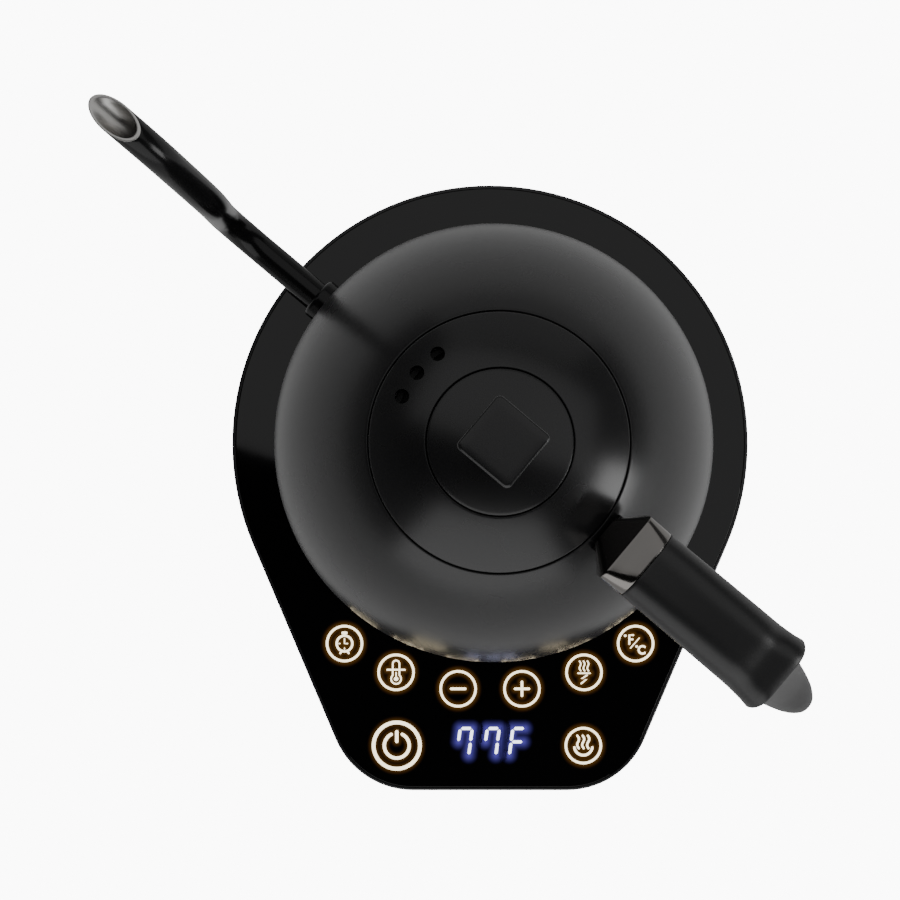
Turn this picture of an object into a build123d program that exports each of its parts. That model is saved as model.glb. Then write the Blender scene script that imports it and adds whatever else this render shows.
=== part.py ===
from build123d import *
from math import acos, asin, cos, pi, radians, sin, sqrt, tan
import os

# Gooseneck electric kettle standing on its touch-control power base.
# Millimetres, +Z up. The origin lies on the kettle's upright axis, in the plane of the table.
# The control panel faces -Y, the cord inlet faces +Y.

# ---------------------------------------------------------------- driving dimensions

# power base
BASE_R = 85.8            # round part of the base, about the kettle's axis
PANEL_REACH = 115.5      # from the axis to the straight front edge
FLANK_ANGLE = 23.0       # where the straight flanks leave the circle, below the X axis
CORNER_R = 28.0          # front corners
BASE_H = 22.0            # top of the touch glass
FOOT_LIFT = 1.5          # gap under the bottom cover
COVER_TOP = 4.0          # upper side of the bottom cover
CASE_WALL = 2.4
RIM_W = 1.1              # casing rim round the touch glass
GLASS_T = 2.0
DECK_T = 2.0             # casing deck under the glass
FOOT_R = 6.0
FOOT_INSET = 17.8        # outer feet stand this far inside the round edge
FOOT_ANGLES = (35, 145, 215, 325)
CASE_SCREW_INSET = 8.0   # base screws stand this far inside the base's edge
CASE_SCREW_ANGLES = (-20, 50, 130, 200)
FRONT_SCREW_X = 19.0
CASE_BOSS_R = 4.0
CASE_SCREW_R = 1.4
COVER_SCREW_HEAD = 2.9
LIP_T = 1.5              # locating lip of the bottom cover
INLET_R = 5.6            # hole for the cord bush
INLET_Z = 11.0
CORD_R = 3.4             # bore of the cord bush
BUSH_DEPTH = 8.0         # from the round edge to the bush's inner end
BUSH_FLANGE_R = 6.8
BUSH_FLANGE_T = 1.0

# power board
BOARD_T = 1.6
BOARD_W = 68.0
BOARD_DEPTH = 36.0
BOARD_POST_R = 2.5
BOARD_SCREW_R = 1.1
BOARD_EDGE = 2.5         # its screws stand this far inside its edges
BOARD_CLEARANCE = 10.0   # from the connector's barrel to the board

# touch icons
ICON_GAP = 14.3          # from the kettle's widest radius to the arc of icons
ICON_ARC_ANGLES = (-36.0, -22.3, -7.4, 7.4, 22.3, 36.0)
ICON_WELL_R = 6.0
LOWER_ROW_INSET = 15.0   # from the front edge to the lower row of icons
LOWER_ROW_X = 31.0
POWER_WELL_R = 8.6
DISPLAY_W = 28.0
DISPLAY_D = 12.5
PANEL_START = 58.5       # the control board begins this far in front of the axis
PANEL_INSET = 9.0        # control board and light wells stay this far inside the edge
PANEL_POSTS = ((-42.0, -74.0), (42.0, -74.0), (-19.0, -93.0), (19.0, -93.0))

# rotary connector
BARREL_R = 18.0          # fixed half, inside the base
BOSS_R = 13.5            # fixed half, standing above the glass
BOSS_H = 11.0
SLOT_W = 2.0
SLOT_RADII = (6.3, 10.3)
COUPLER_R = 18.3         # kettle's half
PIN_R = 1.5

# kettle body
BODY_R = 68.0            # widest radius
BODY_MID_Z = 58.0        # height of the widest place
DOME_RISE = 88.0         # upper half of the oval outline
BELLY_DROP = 72.0        # lower half of the oval outline
SHELL_T = 1.0
HOUSING_TOP = 36.0       # seam between plastic bottom housing and steel shell
HOUSING_WALL = 2.5
PLATE_RISE = 9.2         # floor of the water chamber, above that seam
PLATE_T = 1.2
SPREADER_R = 46.0
SPREADER_T = 3.5
ELEMENT_R = 36.0
BOTTOM_SCREW_CIRCLE = 52.0
BOTTOM_SCREW_R = 1.5
BOTTOM_HEAD_R = 2.8
STUD_R = 3.0
PROBE_X = 20.0
PROBE_R = 3.0
COLLAR_LEDGE = 3.1       # from the lid's seam in to the bore of the mouth collar
COLLAR_H = 12.9          # height of the mouth collar

# lid
LID_R = 36.1             # middle of the seam round the lid
LID_SEAM = 0.5
LID_T = 1.2
DISC_R = 20.0            # middle of the groove round the lid's centre disc
DISC_SEAM = 0.4
VENT_CIRCLE = 29.3
VENT_R = 2.0
VENT_STEP = 14.9
DISC_T = 2.4             # carrier under the centre disc
PLUG_H = 11.4            # lid's inner plug, below the collar's rim
PLUG_GAP = 0.7           # between plug and collar bore
PLUG_WALL = 1.5
GROOVE_T = 1.4           # depth of the seal's groove
SEAL_H = 4.0
KNOB_H = 26.0            # from the top of the dome to the top of the knob
KNOB_W = 17.6
KNOB_FOOT_W = 11.5

# spout
SPOUT_AZIMUTH = 140.0
SPOUT_R = 4.5
SPOUT_WALL = 0.7
SPOUT_ROOT_DROP = 8.5    # root below the body's widest place
SPOUT_STANDOFF = 41.5    # from the widest body radius to the upright run
SPOUT_TIP_RISE = 4.0     # tip above the top of the dome
SPOUT_CUT = 83.0         # direction that the cut mouth faces, above horizontal
SPOUT_CUT_DEPTH = 5.0    # from the tip's centre to the cut

# handle
HANDLE_AZIMUTH = -40.0
BRACKET_L = 7.6          # from the lid's seam to the steel ferrule
FERRULE_L = 7.8
ARM_L = 47.5             # from the ferrule to the thumb lip
ARM_W = 21.3
LIP_W = 23.3
ARM_H = 15.0
HANDLE_GAP = 5.6         # between the dome and the ferrule's underside
TAIL_L = 28.0            # toe of the grip beyond the thumb lip
TAIL_DROP = 71.5         # toe of the grip below the arm's middle
TANG_W = 11.0
TANG_H = 4.0

# clearances
SEAT_GAP = 0.3           # between bodies that move apart
JOINT_GAP = 0.05         # between curved pieces of one body
SCREW_GAP = 0.1
GUIDE_GAP = 0.3          # around inserts in windows

# ---------------------------------------------------------------- derived levels

CENTRED = (Align.CENTER, Align.CENTER, Align.MIN)
DECK_TOP = BASE_H - GLASS_T
DECK_BOTTOM = DECK_TOP - DECK_T
KETTLE_Z = BASE_H + SEAT_GAP
BOARD_Z = COVER_TOP + 3.0
PANEL_BOARD_Z = DECK_BOTTOM - 5.0
BOSS_TOP = BASE_H + BOSS_H
COUPLER_Z = KETTLE_Z + 0.5
COUPLER_DISC = BOSS_TOP + 0.8
PLATE_TOP = HOUSING_TOP + PLATE_RISE
PLATE_UNDER = PLATE_TOP - PLATE_T
STUD_LOW = HOUSING_TOP - 2.0
DOME_TOP = BODY_MID_Z + DOME_RISE
LID_CUT_LOW = BODY_MID_Z + DOME_RISE / 2
COLLAR_R = LID_R - COLLAR_LEDGE
PLUG_R = COLLAR_R - PLUG_GAP
GROOVE_R = PLUG_R - GROOVE_T
KNOB_FOOT_Z = DOME_TOP - 0.1
KNOB_TOP = DOME_TOP + KNOB_H
SPOUT_ROOT_Z = BODY_MID_Z - SPOUT_ROOT_DROP
SPOUT_TIP_Z = DOME_TOP + SPOUT_TIP_RISE
BRACKET_START = LID_R + 1.8
FERRULE_START = LID_R + BRACKET_L
ARM_START = FERRULE_START + FERRULE_L
ARM_END = ARM_START + ARM_L
GRIP_SCREW_REACH = ARM_END - 21.0
ICON_ARC_R = BODY_R + ICON_GAP
LOWER_ROW_Y = LOWER_ROW_INSET - PANEL_REACH
BOARD_FRONT = BARREL_R + BOARD_CLEARANCE
FLANK = radians(FLANK_ANGLE)


# ---------------------------------------------------------------- small helpers

def disc(radius, low, high, x=0.0, y=0.0):
    return Pos(x, y, low) * Cylinder(radius, high - low, align=CENTRED)


def ring(inner, outer, low, high, x=0.0, y=0.0):
    return disc(outer, low, high, x, y) - disc(inner, low - 1, high + 1, x, y)


def slab(width, depth, low, high, x=0.0, y=0.0):
    return Pos(x, y, low) * Box(width, depth, high - low, align=CENTRED)


def polar(radius, angle):
    return radius * cos(radians(angle)), radius * sin(radians(angle))


def group(solids):
    return Compound(children=list(solids))


def save(name, shape):
    shape.label = name
    export_step(shape, f"parts/{name}.step")
    print(name, round(shape.volume, 1))


def screw_up(head_r, head_z, shaft_r, shaft_top, x, y, head_h=1.5):
    """A pan-head screw driven upwards, with a cross recess in its head."""
    head = disc(head_r, head_z, head_z + head_h, x, y)
    recess = slab(head_r * 1.1, 0.7, head_z - 1, head_z + 0.7, x, y)
    recess += slab(0.7, head_r * 1.1, head_z - 1, head_z + 0.7, x, y)
    return head + disc(shaft_r, head_z + head_h, shaft_top, x, y) - recess


# ---------------------------------------------------------------- power base

def base_outline(inset=0.0):
    """Round rear, two straight flanks tangent to it, and a straight front with round corners."""
    radius = BASE_R - inset
    reach = PANEL_REACH - inset
    corner = CORNER_R - inset
    touch = Vector(radius * cos(FLANK), -radius * sin(FLANK))
    run = (reach - radius * sin(FLANK)) / cos(FLANK)
    toe_x = touch.X - run * sin(FLANK)
    setback = corner * tan((pi / 2 - FLANK) / 2)
    flank_end = Vector(toe_x + setback * sin(FLANK), -reach + setback * cos(FLANK))
    front_end = Vector(toe_x - setback, -reach)
    touch_left = Vector(-touch.X, touch.Y)
    flank_end_left = Vector(-flank_end.X, flank_end.Y)
    front_end_left = Vector(-front_end.X, front_end.Y)
    edges = [
        ThreePointArc(touch_left, (0, radius), touch),
        Line(touch, flank_end),
        TangentArc(flank_end, front_end, tangent=(-sin(FLANK), -cos(FLANK))),
        Line(front_end, front_end_left),
        TangentArc(front_end_left, flank_end_left, tangent=(-1, 0)),
        Line(flank_end_left, touch_left),
    ]
    return make_face(edges)


def base_block(inset, low, high):
    return Pos(0, 0, low) * extrude(base_outline(inset), high - low)


def case_screw_places():
    places = [polar(BASE_R - CASE_SCREW_INSET, angle) for angle in CASE_SCREW_ANGLES]
    return places + front_screw_places()


def front_screw_places():
    return [(side * FRONT_SCREW_X, CASE_SCREW_INSET - PANEL_REACH) for side in (-1, 1)]


def icon_places():
    """Centre and well radius of every touch icon."""
    wells = [(*polar(ICON_ARC_R, angle - 90), ICON_WELL_R) for angle in ICON_ARC_ANGLES]
    wells.append((LOWER_ROW_X, LOWER_ROW_Y, ICON_WELL_R))
    wells.append((-LOWER_ROW_X, LOWER_ROW_Y, POWER_WELL_R))
    return wells


def panel_block(inset, low, high):
    """The front part of the base's outline, in front of the kettle, clear of the front screws."""
    block = base_block(inset, low, high)
    block &= slab(4 * BASE_R, PANEL_REACH, low, high, 0, -PANEL_START - PANEL_REACH / 2)
    for x, y in front_screw_places():
        block -= disc(CASE_BOSS_R + inset - PANEL_INSET + 1.4, low - 1, high + 1, x, y)
    return block


BUSH_SINK = 0.4          # the bush's face lies this far inside the round edge


def make_base_casing():
    case = base_block(0, COVER_TOP, BASE_H)
    case = fillet(case.edges().group_by(Axis.Z)[-1], RIM_W * 0.8)
    case -= base_block(CASE_WALL, COVER_TOP - 1, DECK_BOTTOM)
    case -= base_block(RIM_W, DECK_TOP, BASE_H + 1)
    case -= disc(BARREL_R + GUIDE_GAP, DECK_BOTTOM - 1, DECK_TOP + 1)
    case -= panel_block(PANEL_INSET - GUIDE_GAP, DECK_BOTTOM - 1, DECK_TOP + 1)
    for x, y in case_screw_places():
        case += disc(CASE_BOSS_R, COVER_TOP, DECK_BOTTOM, x, y)
        case -= disc(CASE_SCREW_R + SCREW_GAP, COVER_TOP - 1, DECK_BOTTOM - 2, x, y)
    inlet = Pos(0, BASE_R - BUSH_DEPTH, INLET_Z) * Rot(-90, 0, 0)
    case -= inlet * Cylinder(INLET_R, 2 * BUSH_DEPTH, align=CENTRED)
    recess = BUSH_DEPTH - BUSH_SINK - BUSH_FLANGE_T
    case -= inlet * Pos(0, 0, recess - SCREW_GAP) * Cylinder(BUSH_FLANGE_R + SCREW_GAP, BUSH_DEPTH, align=CENTRED)
    return case


def make_touch_glass():
    glass = base_block(RIM_W + SCREW_GAP, DECK_TOP, BASE_H)
    glass = fillet(glass.edges().group_by(Axis.Z)[-1], 0.3)
    return glass - disc(BARREL_R + GUIDE_GAP, DECK_TOP - 1, BASE_H + 1)


def foot_places():
    return [(0.0, 0.0)] + [polar(BASE_R - FOOT_INSET, angle) for angle in FOOT_ANGLES]


def board_posts():
    near = BOARD_FRONT + BOARD_EDGE
    far = BOARD_FRONT + BOARD_DEPTH - BOARD_EDGE
    side = BOARD_W / 2 - BOARD_EDGE
    return [(x, y) for x in (-side, side) for y in (near, far)]


def make_bottom_cover():
    cover = base_block(0, FOOT_LIFT, COVER_TOP)
    cover = chamfer(cover.edges().group_by(Axis.Z)[0], 1.2)
    lip = base_block(CASE_WALL + SCREW_GAP, COVER_TOP, COVER_TOP + 3)
    lip -= base_block(CASE_WALL + SCREW_GAP + LIP_T, COVER_TOP - 1, COVER_TOP + 4)
    for x, y in case_screw_places():
        lip -= disc(CASE_BOSS_R + 0.5, COVER_TOP - 1, COVER_TOP + 4, x, y)
    lip -= slab(3 * INLET_R, 30, COVER_TOP - 1, COVER_TOP + 4, 0, BASE_R)
    cover += lip
    for x, y in board_posts():
        cover += ring(BOARD_SCREW_R + SCREW_GAP, BOARD_POST_R, COVER_TOP, BOARD_Z, x, y)
    for x, y in PANEL_POSTS:
        cover += disc(BOARD_POST_R, COVER_TOP, PANEL_BOARD_Z, x, y)
    for x, y in foot_places():
        cover -= disc(FOOT_R + SCREW_GAP, FOOT_LIFT - 1, FOOT_LIFT + 0.8, x, y)
    for x, y in case_screw_places():
        cover -= disc(CASE_SCREW_R + SCREW_GAP, 0, COVER_TOP + 1, x, y)
        cover -= disc(COVER_SCREW_HEAD + 0.2, 0, FOOT_LIFT + 1.5, x, y)
    return cover


def make_foot(x, y):
    foot = disc(FOOT_R, 0, FOOT_LIFT + 0.8, x, y)
    return chamfer(foot.edges().group_by(Axis.Z)[0], 0.5)


def make_cord_bush():
    """Moulded bush in the rear wall that the supply cord passes through."""
    length = BUSH_DEPTH - BUSH_SINK
    sleeve = Cylinder(INLET_R - SCREW_GAP, length, align=CENTRED)
    outer = Pos(0, 0, length - BUSH_FLANGE_T) * Cylinder(BUSH_FLANGE_R, BUSH_FLANGE_T, align=CENTRED)
    inner = Cylinder(INLET_R + 1.2, 2.0, align=CENTRED)
    bore = Pos(0, 0, -1) * Cylinder(CORD_R, length + 2, align=CENTRED)
    return Pos(0, BASE_R - BUSH_DEPTH, INLET_Z) * Rot(-90, 0, 0) * (sleeve + outer + inner - bore)


def make_connector_housing():
    """Fixed half of the rotary connector: barrel, flange under the deck and slotted boss."""
    body = disc(BARREL_R, COVER_TOP + 5, BASE_H) + disc(BARREL_R + 6, DECK_BOTTOM - 3.5, DECK_BOTTOM)
    boss = disc(BOSS_R, BASE_H, BOSS_TOP)
    body += chamfer(boss.edges().group_by(Axis.Z)[-1], 0.8)
    for radius in SLOT_RADII:
        body -= ring(radius - SLOT_W / 2, radius + SLOT_W / 2, DECK_TOP, BOSS_TOP + 1)
    body -= disc(PIN_R + 0.9, DECK_TOP, BOSS_TOP + 1)
    for angle in (90, 210, 330):
        x, y = polar(BARREL_R + 3.2, angle)
        body -= disc(1.2, DECK_BOTTOM - 5, DECK_BOTTOM + 1, x, y)
    return body


def make_connector_contacts():
    """Springy brass rings against the inner wall of each slot."""
    rings = []
    for radius in SLOT_RADII:
        wall = radius - SLOT_W / 2
        rings.append(ring(wall, wall + 0.45, DECK_TOP, BOSS_TOP - 3))
    return group(rings)


def make_power_board():
    board = slab(BOARD_W, BOARD_DEPTH, BOARD_Z, BOARD_Z + BOARD_T, 0, BOARD_FRONT + BOARD_DEPTH / 2)
    for x, y in board_posts():
        board -= disc(BOARD_SCREW_R + SCREW_GAP, BOARD_Z - 1, BOARD_Z + 3, x, y)
    return board


def make_heatsink(x, y, low):
    sink = slab(8, 3, low, low + 9, x, y)
    for step in range(4):
        sink += slab(1.0, 9, low, low + 9, x - 3.5 + step * 7 / 3, y + 4)
    return sink


def make_transformer(x, y, low):
    core = slab(15, 5, low, low + 9, x, y)
    winding = slab(10, 13, low + 1, low + 8, x, y)
    return core + fillet(winding.edges().filter_by(Axis.Z), 2)


def make_control_board():
    return panel_block(PANEL_INSET, PANEL_BOARD_Z, PANEL_BOARD_Z + BOARD_T)


def make_icon_reflector():
    """White block under the glass, with one light well for each icon and a display window."""
    block = panel_block(PANEL_INSET, PANEL_BOARD_Z + BOARD_T, DECK_TOP)
    for x, y, well in icon_places():
        block -= disc(well, PANEL_BOARD_Z, DECK_TOP + 1, x, y)
    window = slab(DISPLAY_W + 1, DISPLAY_D + 1, PANEL_BOARD_Z, DECK_TOP + 1, 0, LOWER_ROW_Y + 1)
    return block - window


def make_touch_foams():
    return group(disc(2.6, PANEL_BOARD_Z + BOARD_T, DECK_TOP, x, y) for x, y, _ in icon_places())


def make_icon_lamps():
    lamps = []
    level = PANEL_BOARD_Z + BOARD_T
    for x, y, well in icon_places():
        for side in (-1, 1):
            lamps.append(slab(1.0, 2.0, level, level + 0.8, x + side * (well - 1.2), y))
    return group(lamps)


def make_display():
    level = PANEL_BOARD_Z + BOARD_T
    block = slab(DISPLAY_W, DISPLAY_D, level, DECK_TOP, 0, LOWER_ROW_Y + 1)
    return chamfer(block.edges().group_by(Axis.Z)[-1], 0.2)


def wire(points, radius, bend):
    path = FilletPolyline(*points, radius=bend)
    start = Plane(origin=path @ 0, z_dir=path % 0)
    return sweep(start * Circle(radius), path)


def make_mains_wires():
    """Three short leads from the supply terminal block to the power board."""
    edge = BOARD_FRONT + BOARD_DEPTH
    board_top = BOARD_Z + BOARD_T
    leads = []
    for x in (-5, 0, 5):
        points = ((x, edge + 1.5, board_top + 2.6), (x, edge - 4, board_top + 2.6), (x, edge - 4, board_top))
        leads.append(wire(points, 0.9, 1.4))
    return group(leads)


def make_connector_wires():
    """Three leads from the power board to the fixed half of the connector."""
    board_top = BOARD_Z + BOARD_T
    leads = []
    for x in (-3, 0, 3):
        points = ((x, BOARD_FRONT + 2, board_top), (x, BOARD_FRONT + 2, board_top + 2.6),
                  (x, BARREL_R + 0.4, board_top + 2.6))
        leads.append(wire(points, 0.9, 1.4))
    return group(leads)


def make_terminal_block():
    edge = BOARD_FRONT + BOARD_DEPTH
    block = slab(17, 7, COVER_TOP, BOARD_Z + BOARD_T + 4.5, 0, edge + 5)
    for x in (-5, 0, 5):
        block -= disc(1.6, BOARD_Z + 2, BOARD_Z + 9, x, edge + 5)
    return block


def make_board_ribbon():
    """Flat cable that joins the power board to the control board."""
    low = COVER_TOP + 1.0
    side = BARREL_R + 2
    strip = slab(8, BOARD_FRONT + PANEL_START + 6, low, low + 0.8, side, (BOARD_FRONT - PANEL_START) / 2)
    strip += slab(8, 0.8, low, BOARD_Z, side, BOARD_FRONT + 2.6)
    strip += slab(8, 0.8, low, PANEL_BOARD_Z, side, -PANEL_START - 2.6)
    return strip


# ---------------------------------------------------------------- kettle body outline

def body_radius(level, inset=0.0):
    rise = DOME_RISE if level >= BODY_MID_Z else BELLY_DROP
    share = (level - BODY_MID_Z) / (rise - inset)
    return (BODY_R - inset) * sqrt(1 - share * share)


def body_height(radius, inset=0.0):
    """Height of the upper half of the outline at a radius."""
    share = radius / (BODY_R - inset)
    return BODY_MID_Z + (DOME_RISE - inset) * sqrt(1 - share * share)


OVAL_STEPS = 8


def oval_curve(inset, rise, start, stop):
    """A smooth stretch of the oval outline, set in by a wall, between two angles in radians."""
    width = BODY_R - inset
    height = rise - inset
    angles = [start + (stop - start) * step / OVAL_STEPS for step in range(OVAL_STEPS + 1)]
    points = [(width * cos(angle), BODY_MID_Z + height * sin(angle)) for angle in angles]
    turn = 1 if stop > start else -1
    ends = [(-turn * width * sin(angle), turn * height * cos(angle)) for angle in (start, stop)]
    return Spline(*points, tangents=ends)


def oval_arc(inset, rise, low, high):
    """The outline between two heights."""
    start = asin(max(-1.0, (low - BODY_MID_Z) / (rise - inset)))
    stop = asin(min(1.0, (high - BODY_MID_Z) / (rise - inset)))
    return oval_curve(inset, rise, start, stop)


def body_core(inset, low, high):
    """The space inside the kettle's outline, set in by a wall, between two heights."""
    arcs = []
    if low < BODY_MID_Z:
        arcs.append(oval_arc(inset, BELLY_DROP, low, min(high, BODY_MID_Z)))
    if high > BODY_MID_Z:
        arcs.append(oval_arc(inset, DOME_RISE, max(low, BODY_MID_Z), high))
    first = arcs[0] @ 0
    last = arcs[-1] @ 1
    lines = [Line((0, low), first)]
    if last.X > 1e-6:
        lines.append(Line(last, (0, high)))
    lines.append(Line((0, high), (0, low)))
    return revolve(make_face(Plane.XZ * Curve(arcs + lines)), Axis.Z)


def dome_arc(inset, from_r, to_r):
    """The upper outline, set in by a wall, from one radius to a smaller one."""
    width = BODY_R - inset
    return oval_curve(inset, DOME_RISE, acos(from_r / width), acos(to_r / width))


def turned(edges):
    return revolve(make_face(Plane.XZ * Curve(edges)), Axis.Z)


def dome_layer(outer_inset, inner_inset, inner_r, outer_r):
    """A piece of the upper dome between two insets and two radii, with upright edges."""
    outer = dome_arc(outer_inset, outer_r, inner_r)
    inner = dome_arc(inner_inset, outer_r, inner_r)
    return turned([outer, Line(outer @ 1, inner @ 1), inner, Line(inner @ 0, outer @ 0)])


def body_wall(low, edge_r):
    """The shell from its lower edge up to the upright edge round its mouth."""
    edges = []
    ends = []
    for inset in (0, SHELL_T):
        belly = oval_arc(inset, BELLY_DROP, low, BODY_MID_Z)
        dome = dome_arc(inset, BODY_R - inset, edge_r)
        edges += [belly, dome]
        ends.append((belly @ 0, dome @ 1))
    edges += [Line(ends[0][0], ends[1][0]), Line(ends[0][1], ends[1][1])]
    return turned(edges)


# ---------------------------------------------------------------- kettle

def spout_path():
    upright = BODY_R + SPOUT_STANDOFF
    points = (
        (BODY_R - 6, 0, SPOUT_ROOT_Z),
        (upright + 0.5, 0, SPOUT_ROOT_Z + 1),
        (upright - 1.7, 0, SPOUT_TIP_Z - 45),
        (upright + 12.5, 0, SPOUT_TIP_Z - 9.2),
        (upright + 34, 0, SPOUT_TIP_Z + 0.3),
    )
    return FilletPolyline(*points, radius=(16, 55, 22))


def spout_solid(radius, extra=0.0):
    path = spout_path()
    start = Plane(origin=path @ 0, z_dir=path % 0)
    tube = sweep(start * Circle(radius), path)
    if extra > 0:
        end = Plane(origin=path @ 1, z_dir=path % 1)
        tube += end * Cylinder(radius, extra, align=CENTRED)
    return tube


def make_spout_tube():
    """Thin tube with an oblique mouth, its root flush with the inside of the shell."""
    tube = spout_solid(SPOUT_R) - spout_solid(SPOUT_R - SPOUT_WALL, 1.0)
    tube -= body_core(SHELL_T, HOUSING_TOP + 1, DOME_TOP - 20)
    tip = spout_path() @ 1
    facing = Vector(cos(radians(SPOUT_CUT)), 0, sin(radians(SPOUT_CUT)))
    cut = Plane(origin=tip - facing * SPOUT_CUT_DEPTH, z_dir=facing)
    tube -= cut * Box(60, 40, 30, align=CENTRED)
    return Rot(0, 0, SPOUT_AZIMUTH) * tube


def make_spout_collar():
    """Welded rosette where the spout leaves the body."""
    path = spout_path()
    start = Plane(origin=path @ 0, z_dir=path % 0)
    collar = start * Cylinder(SPOUT_R + 2.2, 10.5, align=CENTRED)
    collar = fillet(collar.edges().sort_by(Axis.X)[-1], 1.2)
    collar -= start * Pos(0, 0, -1) * Cylinder(SPOUT_R + JOINT_GAP, 20, align=CENTRED)
    collar -= body_core(-JOINT_GAP, HOUSING_TOP, DOME_TOP - 20)
    return Rot(0, 0, SPOUT_AZIMUTH) * collar


def spout_hole(radius):
    path = spout_path()
    start = Plane(origin=path @ 0 - (path % 0) * 10, z_dir=path % 0)
    return Rot(0, 0, SPOUT_AZIMUTH) * (start * Cylinder(radius, 30, align=CENTRED))


def make_kettle_shell():
    return body_wall(HOUSING_TOP, LID_R + LID_SEAM / 2) - spout_hole(SPOUT_R + JOINT_GAP)


def rim_level():
    """Top of the flange that the lid's rim rests on."""
    return body_height(LID_R - LID_SEAM / 2, LID_T) - SEAT_GAP


def make_mouth_collar():
    top = rim_level()
    collar = ring(COLLAR_R, COLLAR_R + 1.0, top - COLLAR_H, top)
    flange = ring(COLLAR_R, LID_R + 6, top - 1.0, top)
    return collar + (flange & body_core(SHELL_T + JOINT_GAP, BODY_MID_Z, DOME_TOP - 10))


def bottom_screw_places():
    return [polar(BOTTOM_SCREW_CIRCLE, angle) for angle in (90, 210, 330)]


def make_bottom_housing():
    housing = body_core(0, KETTLE_Z, HOUSING_TOP)
    housing -= body_core(HOUSING_WALL, KETTLE_Z + HOUSING_WALL, HOUSING_TOP + 1)
    for x, y in bottom_screw_places():
        housing += disc(STUD_R + 1.5, KETTLE_Z + HOUSING_WALL, STUD_LOW, x, y)
        housing -= disc(BOTTOM_SCREW_R + SCREW_GAP, KETTLE_Z, STUD_LOW + 1, x, y)
        housing -= disc(BOTTOM_HEAD_R + 0.2, KETTLE_Z - 1, KETTLE_Z + HOUSING_WALL, x, y)
    return housing - disc(COUPLER_R + 0.5, KETTLE_Z - 1, HOUSING_TOP)


def make_bottom_seal():
    seal = body_core(SHELL_T + JOINT_GAP, HOUSING_TOP, HOUSING_TOP + 1.9)
    return seal - body_core(HOUSING_WALL, HOUSING_TOP - 1, HOUSING_TOP + 3)


def make_heater_plate():
    """Chamber floor with a turned-down rim welded inside the shell and three threaded studs."""
    inset = SHELL_T + JOINT_GAP
    plate = body_core(inset, HOUSING_TOP + 2, PLATE_TOP)
    plate -= body_core(inset + PLATE_T, HOUSING_TOP + 1, PLATE_UNDER)
    for x, y in bottom_screw_places():
        plate += disc(STUD_R, STUD_LOW, PLATE_UNDER, x, y)
        plate -= disc(BOTTOM_SCREW_R + JOINT_GAP, STUD_LOW - 1, PLATE_UNDER - 2, x, y)
    return plate - disc(PROBE_R + SCREW_GAP, PLATE_UNDER - 1, PLATE_TOP + 1, PROBE_X, 0)


def make_heat_spreader():
    low = PLATE_UNDER - SPREADER_T
    return disc(SPREADER_R, low, PLATE_UNDER) - disc(PROBE_R + 0.5, low - 1, PLATE_TOP, PROBE_X, 0)


def make_heating_element():
    """Tubular element bent to an open ring, with a cold pin at each end."""
    top = PLATE_UNDER - SPREADER_T
    section = Plane.XZ * Pos(ELEMENT_R, top - 2.5) * RectangleRounded(6.5, 5, 1.5)
    element = revolve(section, Axis.Z, revolution_arc=300)
    for angle in (3, 297):
        x, y = polar(ELEMENT_R, angle)
        element += disc(1.6, top - 9, top - 4.5, x, y)
    return Rot(0, 0, 30) * element


def make_thermal_cutout():
    top = PLATE_UNDER - SPREADER_T
    body = disc(9.0, top - 3.5, top)
    for side in (-1, 1):
        body += slab(4, 0.8, top - 3.5, top - 1.0, side * 10.5, 0)
    return body


def make_probe():
    probe = disc(PROBE_R, PLATE_UNDER - 7, PLATE_TOP + 12, PROBE_X, 0)
    probe = fillet(probe.edges().group_by(Axis.Z)[-1], PROBE_R * 0.8)
    return probe


def make_element_wires():
    """Leads from the element's cold pins, laid on the inside of the bottom housing."""
    level = KETTLE_Z + HOUSING_WALL + 3.6
    leads = []
    for angle in (70, 285):
        x, y = polar(ELEMENT_R - 9, angle)
        end_x, end_y = polar(ELEMENT_R + 9, angle)
        points = ((x, y, level + 4), (x, y, level), (end_x, end_y, level), (end_x, end_y, level + 4))
        leads.append(wire(points, 1.0, 2.0))
    return group(leads)


# ---------------------------------------------------------------- rotary half of the connector

def make_kettle_connector():
    """Socket half: a cap over the boss, with a flange that floats in the bottom housing."""
    inner_r = BOSS_R + 0.7
    cap = ring(inner_r, COUPLER_R, COUPLER_Z, COUPLER_DISC)
    cap += disc(COUPLER_R, COUPLER_DISC, COUPLER_DISC + 2.4)
    level = KETTLE_Z + HOUSING_WALL + 0.6
    return cap + ring(COUPLER_R - 1, COUPLER_R + 2.7, level, level + 1.5)


def make_connector_rings():
    low = BASE_H + 2.5
    return group(ring(radius, radius + 0.5, low, COUPLER_DISC) for radius in SLOT_RADII)


# ---------------------------------------------------------------- handle

def handle_section(reach, level, slope, width, height, corner):
    """A rounded section square to the handle's line; slope is in degrees above horizontal."""
    direction = Vector(cos(radians(slope)), 0, sin(radians(slope)))
    place = Plane(origin=(reach, 0, level), x_dir=(0, 1, 0), z_dir=direction)
    return place * RectangleRounded(width, height, corner)


def on_handle(shape):
    return Rot(0, 0, HANDLE_AZIMUTH) * shape


ARM_Z = body_height(FERRULE_START) + HANDLE_GAP + ARM_H / 2 + 1.0
TAIL_LOW = ARM_Z - TAIL_DROP
TAIL_REACH = ARM_END + TAIL_L


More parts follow.
